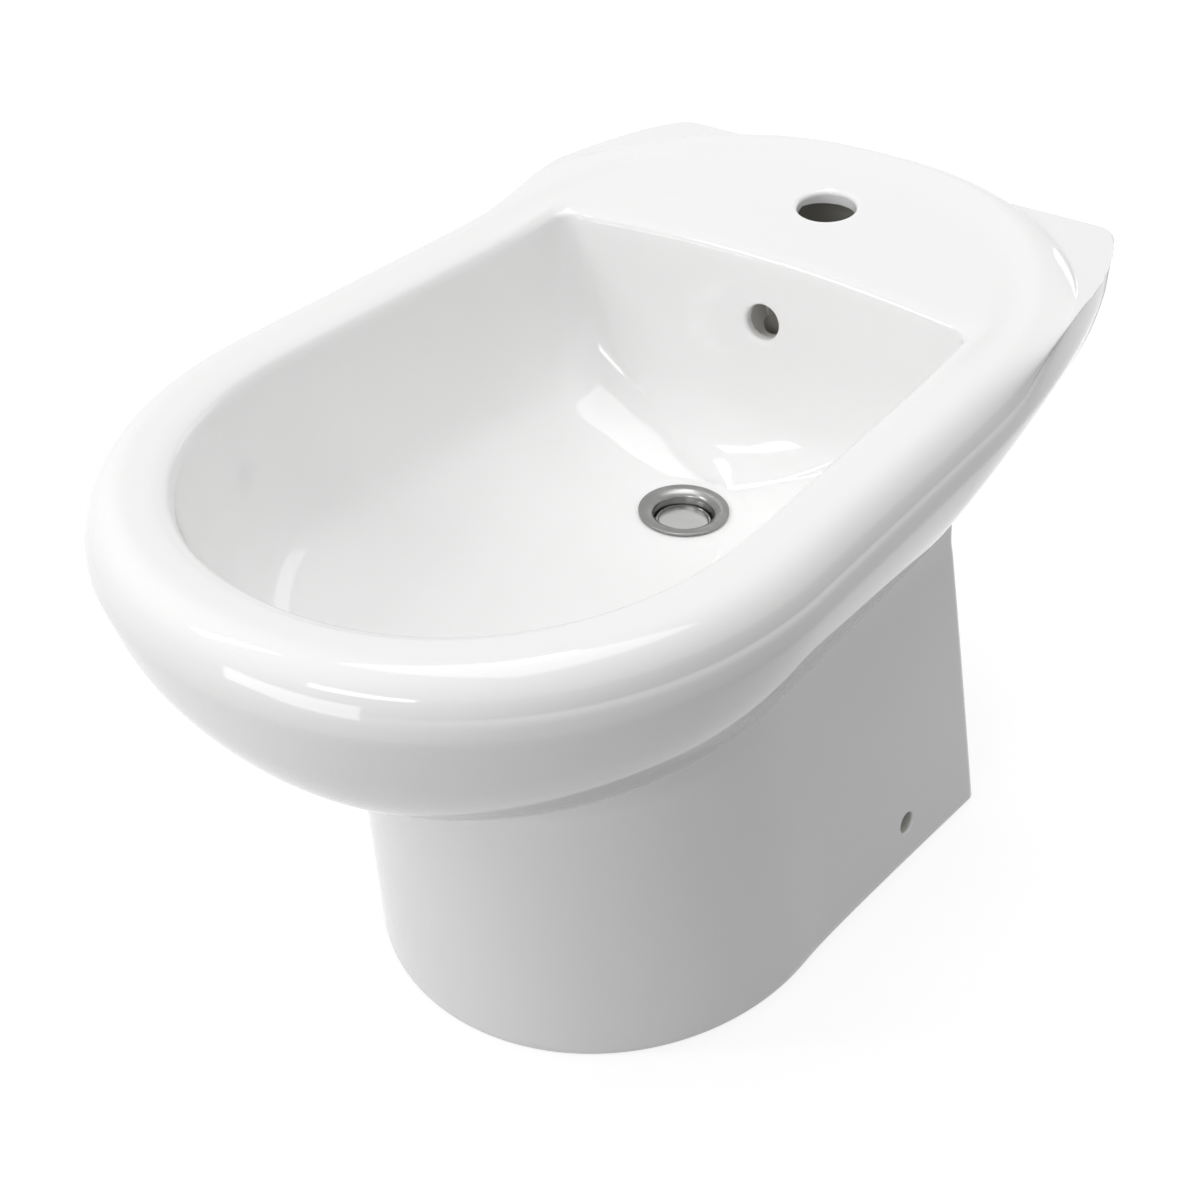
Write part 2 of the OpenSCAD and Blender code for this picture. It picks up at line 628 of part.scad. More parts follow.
module tail_pipe() {
    color("white") translate([0, waste_y, 0]) difference() {
        union() {
            translate([0, 0, dip_z]) cylinder(r = pipe_r, h = tail_z - tail_washer_t - dip_z);
            translate([0, 0, tail_z - tail_washer_t - pipe_flange_t])
                cylinder(r = tail_r - 0.5, h = pipe_flange_t);
        }
        translate([0, 0, dip_z - 1]) cylinder(r = pipe_r - pipe_wall, h = tail_z - dip_z);
    }
}

// A socket that a pipe slips into, with a coned mouth for its washer.
module socket(h) {
    cylinder(r = socket_r, h = h);
}

module socket_bore(h) {
    translate([0, 0, -1]) cylinder(r = pipe_r + 0.3, h = h + 1);
    translate([0, 0, h - cone_t]) cylinder(r1 = pipe_r + 0.3, r2 = socket_r - 1, h = cone_t + eps);
}

outlet_neck = trap_r + socket_h;
module trap_body() {
    color("white") translate([0, waste_y, 0]) difference() {
        union() {
            translate([0, 0, trap_z]) cylinder(r = trap_r, h = trap_top - trap_z);
            translate([0, 0, trap_top - eps]) socket(socket_h);
            translate([0, 0, outlet_h]) rotate([-90, 0, 0]) socket(outlet_neck);
        }
        translate([0, 0, trap_z - 1]) cylinder(r = trap_r - trap_wall, h = trap_top - trap_z - trap_wall + 1);
        translate([0, 0, trap_top]) socket_bore(socket_h);
        translate([0, 0, trap_top - trap_wall - 1]) cylinder(r = pipe_r + 0.3, h = trap_wall + 2);
        translate([0, 0, outlet_h]) rotate([-90, 0, 0]) {
            cylinder(r = pipe_r - pipe_wall, h = outlet_neck);
            translate([0, 0, trap_r]) socket_bore(socket_h);
        }
    }
}

// A coned washer that fills the mouth of a socket.
module cone_washer() {
    rotate_extrude() polygon([[pipe_r + 0.05, -cone_t + 0.6], [pipe_r + 0.45, -cone_t + 0.6],
        [socket_r - 1.35, -0.1], [socket_r - 1.35, 1.4], [pipe_r + 0.05, 1.4]]);
}

module slip_nut() {
    translate([0, 0, 4.5 - slip_nut_h]) ribbed_nut(socket_r + 4, slip_nut_h, socket_r + thread_fit);
    translate([0, 0, 1.5]) difference() {
        cylinder(r = socket_r + 2, h = 3);
        translate([0, 0, -1]) cylinder(r = pipe_r + 0.3, h = 5);
    }
}

module trap_inlet_nut() {
    color("white") translate([0, waste_y, trap_top + socket_h]) slip_nut();
}

module trap_inlet_washer() {
    color("dimgray") translate([0, waste_y, trap_top + socket_h]) cone_washer();
}

module outlet_nut() {
    color("white") translate([0, waste_y + outlet_neck, outlet_h]) rotate([-90, 0, 0]) slip_nut();
}

module outlet_washer() {
    color("dimgray") translate([0, waste_y + outlet_neck, outlet_h]) rotate([-90, 0, 0]) cone_washer();
}

outlet_start = trap_r + 1;
module outlet_pipe() {
    l = back_y - pipe_short - waste_y - outlet_start;
    color("white") translate([0, waste_y + outlet_start, outlet_h]) rotate([-90, 0, 0]) difference() {
        cylinder(r = pipe_r, h = l);
        translate([0, 0, -1]) cylinder(r = pipe_r - pipe_wall, h = l + 2);
    }
}

// Cup: screws up over the open foot of the trap body, on a seal.
cup_lap = 12;
cup_seal_t = 2;
module trap_cup() {
    inner = trap_r + thread_fit;
    color("white") translate([0, waste_y, trap_z - cup_l]) difference() {
        union() {
            cylinder(r = trap_r, h = cup_l - 4);
            translate([0, 0, cup_l - 8]) ribbed_nut(trap_r + 3.5, cup_lap + 8, trap_r - trap_wall);
        }
        translate([0, 0, trap_wall]) cylinder(r = trap_r - trap_wall, h = cup_l + cup_lap);
        translate([0, 0, cup_l - cup_seal_t]) cylinder(r = inner, h = cup_lap + cup_seal_t + 1);
    }
}

module cup_seal() {
    color("dimgray") translate([0, waste_y, trap_z - cup_seal_t]) difference() {
        cylinder(r = trap_r - 0.1, h = cup_seal_t);
        translate([0, 0, -1]) cylinder(r = trap_r - trap_wall, h = cup_seal_t + 2);
    }
}

ceramic_body();
waste_body();
flange_seal();
boss_seal();
slip_washer();
waste_nut();
plug_cap();
plug_seal();
plug_stem();
click_sleeve();
sleeve_lid();
click_spring();
tail_nut();
tail_washer();
tail_pipe();
trap_body();
trap_inlet_nut();
trap_inlet_washer();
trap_cup();
cup_seal();
outlet_nut();
outlet_washer();
outlet_pipe();
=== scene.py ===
import json
import math

import bmesh
import bpy
import numpy as np
from mathutils import Matrix, Vector
from mathutils.bvhtree import BVHTree

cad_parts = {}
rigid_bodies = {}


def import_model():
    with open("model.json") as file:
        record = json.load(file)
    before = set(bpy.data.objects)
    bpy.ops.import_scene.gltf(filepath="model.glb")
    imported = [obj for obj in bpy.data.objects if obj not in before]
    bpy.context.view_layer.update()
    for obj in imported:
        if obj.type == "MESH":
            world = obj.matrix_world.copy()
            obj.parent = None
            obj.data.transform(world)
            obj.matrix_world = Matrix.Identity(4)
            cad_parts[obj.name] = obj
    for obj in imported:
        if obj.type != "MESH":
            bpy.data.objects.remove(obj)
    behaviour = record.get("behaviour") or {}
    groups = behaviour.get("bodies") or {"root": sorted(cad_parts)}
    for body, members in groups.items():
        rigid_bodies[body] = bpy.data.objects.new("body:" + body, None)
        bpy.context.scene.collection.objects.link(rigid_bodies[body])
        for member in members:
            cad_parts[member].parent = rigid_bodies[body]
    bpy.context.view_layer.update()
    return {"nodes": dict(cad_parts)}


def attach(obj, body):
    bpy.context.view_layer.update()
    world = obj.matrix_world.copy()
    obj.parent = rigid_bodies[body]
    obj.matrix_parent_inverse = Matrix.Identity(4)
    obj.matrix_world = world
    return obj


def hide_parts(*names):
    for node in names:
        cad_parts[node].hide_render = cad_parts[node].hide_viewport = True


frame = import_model()
scene = bpy.context.scene
mm = 0.001
print("frame loaded:", len(frame["nodes"]), "nodes")


# Small helpers for meshes

def newObject(name, mesh):
    ob = bpy.data.objects.new(name, mesh)
    scene.collection.objects.link(ob)
    return ob


def meshObject(name, verts, faces, materials=(), smooth=True):
    me = bpy.data.meshes.new(name)
    me.from_pydata([tuple(v) for v in verts], [], [tuple(f) for f in faces])
    for mat in materials:
        me.materials.append(mat)
    me.update()
    me.polygons.foreach_set("use_smooth", [smooth] * len(me.polygons))
    bm = bmesh.new()
    bm.from_mesh(me)
    bmesh.ops.recalc_face_normals(bm, faces=bm.faces)
    bm.to_mesh(me)
    bm.free()
    return newObject(name, me)


def lathe(name, profile, centre, axis=(0, 0, 1), steps=96, materials=(), crease=35):
    # turns a closed loop of (radius, height) points, in mm, about an axis; radius 0 is a pole
    z = Vector(axis).normalized()
    x = z.orthogonal().normalized()
    y = z.cross(x)
    c = Vector(centre)
    turns = [2 * math.pi * i / steps for i in range(steps)]
    verts, rows, faces = [], [], []
    for r, h in profile:
        rows.append([len(verts) + i for i in range(steps if r > 1e-6 else 1)])
        for a in turns[:len(rows[-1])]:
            verts.append((c + z * h + (x * math.cos(a) + y * math.sin(a)) * r) * mm)
    for a, b in zip(rows, rows[1:] + rows[:1]):
        for i in range(steps):
            j = (i + 1) % steps
            if len(a) > 1 and len(b) > 1:
                faces.append((a[i], a[j], b[j], b[i]))
            elif len(a) > 1:
                faces.append((a[i], a[j], b[0]))
            elif len(b) > 1:
                faces.append((a[0], b[j], b[i]))
    ob = meshObject(name, verts, faces, materials)
    ob.data.set_sharp_from_angle(angle=math.radians(crease))
    return ob


def arcPoints(cx, cy, r, a0, a1, n):
    turns = [math.radians(a0 + (a1 - a0) * i / n) for i in range(n + 1)]
    return [(cx + r * math.cos(a), cy + r * math.sin(a)) for a in turns]


def bake(ob):
    # the evaluated mesh becomes the object's own, and no modifier is left
    deps = bpy.context.evaluated_depsgraph_get()
    ready = ob.evaluated_get(deps)
    me = bpy.data.meshes.new_from_object(ready, preserve_all_data_layers=True, depsgraph=deps)
    ob.modifiers.clear()
    ob.data = me
    return ob


# Finishes

def forward(op):
    return lambda self, other: self.maths(op, self, other)


def reflected(op):
    return lambda self, other: self.maths(op, other, self)


class Sock:
    # wraps a socket, so that shader maths reads as plain expressions
    __add__ = forward("ADD")
    __radd__ = reflected("ADD")
    __sub__ = forward("SUBTRACT")
    __rsub__ = reflected("SUBTRACT")
    __mul__ = forward("MULTIPLY")
    __rmul__ = reflected("MULTIPLY")
    __truediv__ = forward("DIVIDE")
    __rtruediv__ = reflected("DIVIDE")

    def __init__(self, tree, link):
        self.tree = tree
        self.link = link

    def maths(self, op, *values):
        n = self.tree.nodes.new("ShaderNodeMath")
        n.operation = op
        for s, v in zip(n.inputs, values):
            joinSocket(self.tree, s, v)
        return Sock(self.tree, n.outputs[0])

    def then(self, op, *others):
        return self.maths(op, self, *others)


def joinSocket(tree, socket, value):
    if isinstance(value, Sock):
        tree.links.new(value.link, socket)
    elif socket.type == "RGBA" and len(value) == 3:
        socket.default_value = (*value, 1)
    else:
        socket.default_value = value


class Nodes:
    def __init__(self, tree):
        self.tree = tree

    def add(self, kind, settings=None, out=0, **sockets):
        # any node: its settings first, then values or links for its sockets
        n = self.tree.nodes.new(kind)
        for k, v in (settings or {}).items():
            setattr(n, k, v)
        for k, v in sockets.items():
            key = int(k[1:]) if k[0] == "i" and k[1:].isdigit() else k.replace("_", " ")
            joinSocket(self.tree, n.inputs[key], v)
        return Sock(self.tree, n.outputs[out]) if len(n.outputs) else n

    def split(self, vector):
        parts = self.add("ShaderNodeSeparateXYZ", Vector=vector).link.node.outputs
        return [Sock(self.tree, s) for s in parts]

    def ramp(self, value, low, high):
        # eases from 0 at low to 1 at high
        smooth = {"interpolation_type": "SMOOTHSTEP"}
        return self.add("ShaderNodeMapRange", smooth, Value=value, i1=low, i2=high)

    def where(self, scale=(1, 1, 1)):
        spot = self.add("ShaderNodeTexCoord", out="Object")
        return self.add("ShaderNodeMapping", Vector=spot, Scale=scale)

    def noise(self, size, detail=3, rough=0.5, stretch=(1, 1, 1)):
        # size is how many blotches fit in a metre
        return self.add("ShaderNodeTexNoise", Vector=self.where(stretch), Scale=size, Detail=detail,
                        Roughness=rough)

    def blend(self, share, a, b):
        return self.add("ShaderNodeMix", {"data_type": "RGBA"}, out=2, i0=share, i6=a, i7=b)


class Finish(Nodes):
    def __init__(self, name, color, roughness, **fixed):
        self.mat = bpy.data.materials.new(name)
        self.mat.use_nodes = True
        super().__init__(self.mat.node_tree)
        self.shader = self.tree.nodes["Principled BSDF"]
        self.end = self.tree.nodes["Material Output"].inputs["Surface"]
        self.feed(Base_Color=color, Roughness=roughness, **fixed)

    def feed(self, **values):
        for k, v in values.items():
            joinSocket(self.tree, self.shader.inputs[k.replace("_", " ")], v)

    def bump(self, height, strength, distance):
        self.feed(Normal=self.add("ShaderNodeBump", Height=height, Strength=strength, Distance=distance))


def glazeFinish():
    f = Finish("whiteGlaze", (0.92, 0.92, 0.917), 0.06, IOR=1.5)
    f.feed(Base_Color=f.blend(f.noise(7, 3), (0.909, 0.909, 0.905), (0.926, 0.926, 0.924)))
    f.feed(Roughness=0.035 + 0.05 * f.noise(30, 2))
    ripple = f.noise(22, 1, 0.3)                       # the slow ripple that fired glaze has
    f.bump(ripple + 0.015 * f.noise(420, 2), 0.06, 0.0006)
    return f.mat


def clayFinish():
    f = Finish("bareClay", (0.66, 0.65, 0.62), 0.75)
    f.feed(Base_Color=f.blend(f.noise(14, 5, 0.6), (0.58, 0.57, 0.54), (0.70, 0.69, 0.66)))
    f.feed(Roughness=0.6 + 0.25 * f.noise(60, 4))
    f.bump(f.noise(300, 5, 0.65), 0.35, 0.0006)
    return f.mat


def wasteFinish():
    f = Finish("satinSteel", (0.3, 0.3, 0.295), 0.28, Metallic=1.0)
    brushed = f.noise(900, 3, 0.6, (0.06, 0.06, 1))
    height = f.split(f.add("ShaderNodeTexCoord", out="Object"))[2]
    clearOfThroatShade = f.ramp(height, 0.231, 0.2375)              # painted shade: below the dish the throat's steel is darkened to stand for the shade down in it
    steel = f.blend(f.noise(45, 4), (0.28, 0.28, 0.275), (0.34, 0.34, 0.335))
    # the dark colour below the dish is that painted shade in the throat
    f.feed(Base_Color=f.blend(clearOfThroatShade, (0.15, 0.15, 0.148), steel))
    f.feed(Roughness=0.22 + 0.08 * brushed + 0.06 * f.noise(60))
    f.bump(brushed, 0.05, 0.0002)
    return f.mat


def plugFinish():
    f = Finish("satinChrome", (0.6, 0.6, 0.59), 0.22, Metallic=1.0)
    f.feed(Base_Color=f.blend(f.noise(70), (0.57, 0.57, 0.56), (0.63, 0.63, 0.62)))
    f.feed(Roughness=0.2 + 0.05 * f.noise(90))
    return f.mat


def brassFinish():
    f = Finish("dullBrass", (0.62, 0.45, 0.18), 0.38, Metallic=1.0)
    spots = f.noise(120, 5, 0.65)
    f.feed(Base_Color=f.blend(spots, (0.46, 0.32, 0.12), (0.68, 0.51, 0.23)), Roughness=0.3 + 0.22 * spots)
    f.bump(f.noise(500, 4), 0.15, 0.0003)
    return f.mat


def wireFinish():
    f = Finish("springWire", (0.6, 0.6, 0.6), 0.25, Metallic=1.0)
    f.feed(Roughness=0.2 + 0.15 * f.noise(400))
    f.feed(Base_Color=f.blend(f.noise(150), (0.52, 0.52, 0.52), (0.66, 0.66, 0.65)))
    return f.mat


def rubberFinish():
    f = Finish("blackRubber", (0.02, 0.02, 0.02), 0.6)
    f.feed(Base_Color=f.blend(f.noise(90, 4), (0.014, 0.014, 0.014), (0.034, 0.034, 0.034)))
    f.feed(Roughness=0.5 + 0.2 * f.noise(260))
    f.bump(f.noise(1300), 0.2, 0.0002)
    return f.mat


def acetalFinish():
    f = Finish("mouldedAcetal", (0.80, 0.80, 0.76), 0.42)
    f.feed(Base_Color=f.blend(f.noise(40), (0.77, 0.77, 0.73), (0.83, 0.83, 0.80)))
    f.feed(Roughness=0.36 + 0.12 * f.noise(300))
    f.bump(f.noise(900, 2), 0.1, 0.0002)
    return f.mat


def trapFinish():
    f = Finish("trapPlastic", (0.84, 0.84, 0.82), 0.26, IOR=1.49)
    f.feed(Base_Color=f.blend(f.noise(20, 4), (0.80, 0.80, 0.775), (0.85, 0.85, 0.835)))
    f.feed(Roughness=0.2 + 0.12 * f.noise(180))
    f.bump(f.noise(70, 2), 0.12, 0.0004)
    return f.mat


whiteGlaze = glazeFinish()
bareClay = clayFinish()
satinSteel = wasteFinish()
satinChrome = plugFinish()
dullBrass = brassFinish()
springWire = wireFinish()
blackRubber = rubberFinish()
mouldedAcetal = acetalFinish()
trapPlastic = trapFinish()
nodeFinish = {
    satinSteel: ("waste_body",),
    dullBrass: ("waste_nut",),
    satinChrome: ("plug_cap", "plug_stem"),
    springWire: ("click_spring",),
    blackRubber: ("flange_seal", "boss_seal", "plug_seal", "tail_washer", "trap_inlet_washer", "cup_seal",
                  "outlet_washer"),
    mouldedAcetal: ("slip_washer", "click_sleeve", "sleeve_lid"),
    trapPlastic: ("tail_nut", "tail_pipe", "trap_body", "trap_inlet_nut", "trap_cup", "outlet_nut",
                  "outlet_pipe"),
}
for mat, names in nodeFinish.items():
    for name in names:
        for s in frame["nodes"][name].material_slots:
            s.material = mat
print("finishes made:", len(bpy.data.materials))


# China casting, in mm until its mesh is made: rings of points from the hollow, over the rim, to the waste

body = dict(width=366, length=578, rimH=372, rearH=392, wall=11,
            footW=286, footSetback=137, footBend=7, footFlare=0.105, footBackGap=80, toeIn=1.8,
            neckW=240, neckSetback=120, neckBend=-7, neckBackGap=84, neckH=206,
            widestH=345, rimBend=196, rimSideW=44.5, rimFrontW=40.5, crownIn=21, lipDrop=13, lipFall=4.5,
            ledgeW=312, ledgeTop=378, ledgeR=14,
            deckL=139.5, deckH=371, slope=7.6, floorH=238, wasteBack=216, floorR=36, deckArch=12)
stations = dict(front=48, side=36, corner=30, back=18)     # points of half an outline


def mixed(a, b, t):
    return a + (b - a) * t


def eased(t):
    t = np.clip(t, 0, 1)
    return t * t * (3 - 2 * t)


halfW = body["width"] / 2
frontY = -body["length"] / 2
backY = body["length"] / 2
rimC = frontY + body["rimBend"]
frontIn = 0.95 * body["crownIn"]     # how far in the crown stands at the front
bendPower = 2.1     # the front bend is a little squarer than an ellipse
drawIn = -0.02      # slope of sides that close in slightly towards the back
cornerR = 12
cornerSwell = 13    # the belly's corners are this much rounder halfway up
taperY = 57         # behind this the ledge draws in
flareRun = 40       # a flare takes this long to reach its slope
ledgeTaper = (halfW - body["ledgeW"] / 2) / (backY - body["ledgeR"] - taperY) ** 2


def section(w, c, f, b, z0, z1, p=bendPower, flare=0, taper=0, cx=cornerR, cy=cornerR, arch=0,
            y0=57, y1=197):
    # half width, where the front bend ends, front, back, heights in front and behind, the form of bend,
    # side and corner, the arch of the back, and where the height starts and stops to change
    return np.array([w, c, f, b, z0, z1, p, flare, taper, cx, cy, arch, y0, y1], float)


def ring(s):
    # a closed outline: front bend, side, corner, back, then the mirror image
    w, c, f, b, z0, z1, p, flare, taper, cx, cy, arch, y0, y1 = s

    def halfAt(y):
        run = np.maximum(0, y - c)
        return w + flare * run ** 2 / (run + flareRun) - taper * np.maximum(0, y - taperY) ** 2

    a = np.linspace(0, math.pi / 2, stations["front"], endpoint=False)
    cornerY = b - arch - cy
    side = np.linspace(c, cornerY, stations["side"], endpoint=False)
    cornerX = halfAt(np.array(cornerY)) - cx
    turn = np.linspace(0, math.pi / 2, stations["corner"], endpoint=False)
    t = np.linspace(1, 0, stations["back"] + 1)
    x = np.concatenate([w * np.sin(a) ** (2 / p), halfAt(side), cornerX + cx * np.cos(turn), cornerX * t])
    y = np.concatenate([c - (c - f) * np.cos(a) ** (2 / p), side, cornerY + cy * np.sin(turn),
                        cornerY + cy + arch * (1 - t * t)])
    z = mixed(z0, z1, eased((y - y0) / (y1 - y0)))
    half = np.stack([x, y, z], 1)
    return np.concatenate([half, half[-2:0:-1] * (-1, 1, 1)])


def reach(z0, z, y, y0, y1):
    # the rear height at which an outline passes through height z at y
    return z0 + (z - z0) / float(eased((y - y0) / (y1 - y0)))


neck = section(body["neckW"] / 2, body["neckBend"], frontY + body["neckSetback"],
               backY - body["neckBackGap"], body["neckH"], body["neckH"], flare=drawIn)
foot = section(body["footW"] / 2, body["footBend"], frontY + body["footSetback"],
               backY - body["footBackGap"], 0, 0, p=2, flare=body["footFlare"])
bellyShares = [(0.02, 0.09, 0.07, 0.12, 0.14), (0.26, 0.42, 0.29, 0.26, 0.39),
               (0.57, 0.73, 0.57, 0.48, 0.62), (0.85, 0.93, 0.86, 0.76, 0.83)]


def bellySection(v, skin=0):
    # v holds the shares of the way out at the side, front and back, and up at the front and back
    bend = cornerR + cornerSwell * math.sin(math.pi * v[3])
    return section(mixed(neck[0], halfW, v[0]) - skin, mixed(neck[1], rimC, v[1]),
                   mixed(neck[2], frontY, v[1]) + skin, mixed(neck[3], backY, v[2]) - skin,
                   mixed(body["neckH"], body["widestH"], v[3]) - skin / 3,
                   mixed(body["neckH"], body["widestH"], v[4]) - skin / 3,
                   flare=mixed(drawIn, 0, v[0]), taper=ledgeTaper * v[0] ** 2, cx=bend, cy=bend)


widest = section(halfW, rimC, frontY, backY, body["widestH"], body["widestH"], taper=ledgeTaper,
                 cx=body["ledgeR"], cy=body["ledgeR"])


# angles up the roll: the ledge's small edge, then its top up to the heel, then the roll up to the crown
roll = dict(edgeFrom=17, edgeTo=25, heel=42, edgeR=2.5, edgeIn=0.8, heelBack=0.5, heelRise=0.6, bend=150,
            riseFrom=97, riseTo=187, mergeFrom=60, mergeRun=90,
            ledgeSteps=(4, 8, 12, 15, 17, 19, 21, 23, 25, 25.4, 26, 27, 28.2, 29.5, 31, 32.5, 34, 35.5, 37,
                        38.5, 40, 41.2),
            crownSteps=(42, 44, 46, 49, 53, 58, 63, 68, 73, 78, 84))


def rollOut(deg, back, rearZ, bend, taper=0):
    # an outline on the rolled rim, deg up from the widest line
    a = math.radians(deg)
    return section(halfW - body["crownIn"] * (1 - math.cos(a)), rimC, frontY + frontIn * (1 - math.cos(a)),
                   back, mixed(body["widestH"], body["rimH"], math.sin(a)), rearZ, taper=taper,
                   cx=bend, cy=bend, y0=roll["riseFrom"], y1=roll["riseTo"])


crownBack = backY - 8
crownRise = (92, 330)
crown = section(halfW - body["crownIn"], rimC, frontY + frontIn, crownBack, body["rimH"],
                reach(body["rimH"], body["rearH"], crownBack, *crownRise), cx=156, cy=154,
                y0=crownRise[0], y1=crownRise[1])


def rollRings():
    # behind the bowl the roll stands on the square ledge, which has its own small edge radius
    top, corner = body["ledgeTop"], body["ledgeR"]
    edgeFrom, edgeTo, heelAt = roll["edgeFrom"], roll["edgeTo"], roll["heel"]
    edgeLow = top - roll["edgeR"]
    crownRing = ring(crown)
    heel = ring(rollOut(heelAt, backY - roll["heelBack"], top + roll["heelRise"], roll["bend"]))
    out = []
    for deg in roll["ledgeSteps"]:
        if deg <= edgeFrom:
            s = rollOut(deg, backY, mixed(body["widestH"], edgeLow, deg / edgeFrom), corner, ledgeTaper)
        elif deg <= edgeTo:
            a = (deg - edgeFrom) / (edgeTo - edgeFrom) * math.pi / 2
            s = rollOut(deg, backY, edgeLow + roll["edgeR"] * math.sin(a), corner, ledgeTaper)
            s[0] -= roll["edgeIn"] * (1 - math.cos(a))
        else:
            k = (deg - edgeTo) / (heelAt - edgeTo)
            s = rollOut(deg, backY - roll["heelBack"] * k, top + roll["heelRise"] * k ** 3,
                        mixed(corner, roll["bend"], k), ledgeTaper * (1 - k))
            s[0] -= roll["edgeIn"] * (1 - k)
        out.append(ring(s))
    for deg in roll["crownSteps"]:
        a = math.radians((deg - heelAt) / (90 - heelAt) * 90)
        onLedge = crownRing + (heel - crownRing) * math.cos(a)
        onLedge[:, 2] = mixed(heel[:, 2], crownRing[:, 2], math.sin(a))
        plain = ring(rollOut(deg, backY, top, roll["bend"]))
        k = eased((onLedge[:, 1] - roll["mergeFrom"]) / roll["mergeRun"])[:, None]
        out.append(plain * (1 - k) + onLedge * k)
    return out


deckY = backY - body["deckL"]
lipW = halfW - body["rimSideW"]
lipF = frontY + body["rimFrontW"]
arch = body["deckArch"]


def deckAt(y):
    return body["deckH"] + math.tan(math.radians(body["slope"])) * (y - deckY)


# halfway from the crown to the lip, and behind the tap hole on the deck
midY = backY - 32
midZ = body["rimH"] - 0.07 * body["lipDrop"]
midRise = (100, 330)
deckMid = section(mixed(halfW - body["crownIn"], lipW, 0.5), rimC, mixed(frontY + body["crownIn"], lipF, 0.5),
                  midY, midZ, reach(midZ, deckAt(midY), midY, *midRise), cx=140, cy=125,
                  y0=midRise[0], y1=midRise[1])
bowlRise = dict(y0=60, y1=150)


def lipSection(out, back, drop, z1, bend):
    # rings that turn from the rim and the deck down into the bowl
    return section(lipW + out, rimC, lipF - out, deckY + back, body["rimH"] - drop * body["lipDrop"], z1,
                   flare=drawIn, cx=bend, cy=bend - 1, arch=arch, **bowlRise)


lipRings = [lipSection(6.4, 14, 0.16, deckAt(deckY + 14), 24),
            lipSection(2.8, 5, 0.3, body["deckH"] + 0.3, 18),
            lipSection(0.8, 1.3, 0.62, body["deckH"] - 1.3, 16),
            lipSection(0, 0, 1, body["deckH"] - body["lipFall"], 15)]
wasteY = backY - body["wasteBack"]
floorBend = wasteY - 3
lipZ = (body["rimH"] - body["lipDrop"], body["deckH"] - body["lipFall"])
bowlShares = [(0.03, 0.01, 0.01, 0.17, 17), (0.07, 0.025, 0.02, 0.37, 21), (0.13, 0.055, 0.07, 0.56, 29),
              (0.24, 0.115, 0.22, 0.72, 38), (0.43, 0.225, 0.5, 0.845, 44), (0.67, 0.42, 0.78, 0.925, 42),
              (0.88, 0.73, 0.94, 0.975, 36)]


def bowlSection(v, skin=0, drop=0):
    # v holds the shares of the way in at the side, front and back, and down, then the corner bend
    r = body["floorR"]
    return section(mixed(lipW, r, v[0]) + skin, mixed(rimC, floorBend, v[1]),
                   mixed(lipF, wasteY - r, v[1]) - skin, mixed(deckY, wasteY + r, v[2]) + skin,
                   mixed(lipZ[0], body["floorH"], v[3]) - drop, mixed(lipZ[1], body["floorH"], v[3]) - drop,
                   p=mixed(bendPower, 2, v[0]), flare=mixed(drawIn, 0, v[0]), cx=v[4] + skin / 2,
                   cy=v[4] + skin / 2, arch=arch * (1 - v[2]), **bowlRise)


def floorSection(r, z):
    # nearly round, because the waste sits in it
    return section(r, floorBend, wasteY - r, wasteY + r, z, z, p=2, cx=r - 2, cy=r - 2)


def splineRows(keys, steps):
    # rows between the key rings, where each station runs on its own smooth curve
    keys = np.array(keys)
    gap = np.sqrt(np.linalg.norm(np.diff(keys, axis=0), axis=2)) + 1e-6
    ends = np.concatenate([[2 * keys[0] - keys[1]], keys, [2 * keys[-1] - keys[-2]]])
    gap = np.concatenate([gap[:1], gap, gap[-1:]])[:, :, None]
    rows = []
    for i in range(len(keys) - 1):
        p0, p1, p2, p3 = ends[i:i + 4]
        d0, d1, d2 = gap[i:i + 3]
        m1 = ((p1 - p0) / d0 - (p2 - p0) / (d0 + d1) + (p2 - p1) / d1) * d1
        m2 = ((p2 - p1) / d1 - (p3 - p1) / (d1 + d2) + (p3 - p2) / d2) * d1
        for t in np.arange(steps) / steps:
            rows.append((2 * t ** 3 - 3 * t ** 2 + 1) * p1 + (t ** 3 - 2 * t ** 2 + t) * m1
                        + (3 * t ** 2 - 2 * t ** 3) * p2 + (t ** 3 - t ** 2) * m2)
    return rows + [keys[-1]]


# the cheek is the roof of the hollow beside the bowl: shares of the way out and up, and gaps in walls
cheek = dict(up=0.6, out=0.72, front=0.83, inSide=0.1, inFront=0.05, crown=7, taper=0.9, topTaper=0.8,
             backGap=1.8, deckGap=1.35, lipGap=1.6, lipUnder=0.55, topBend=20, inBend=22)


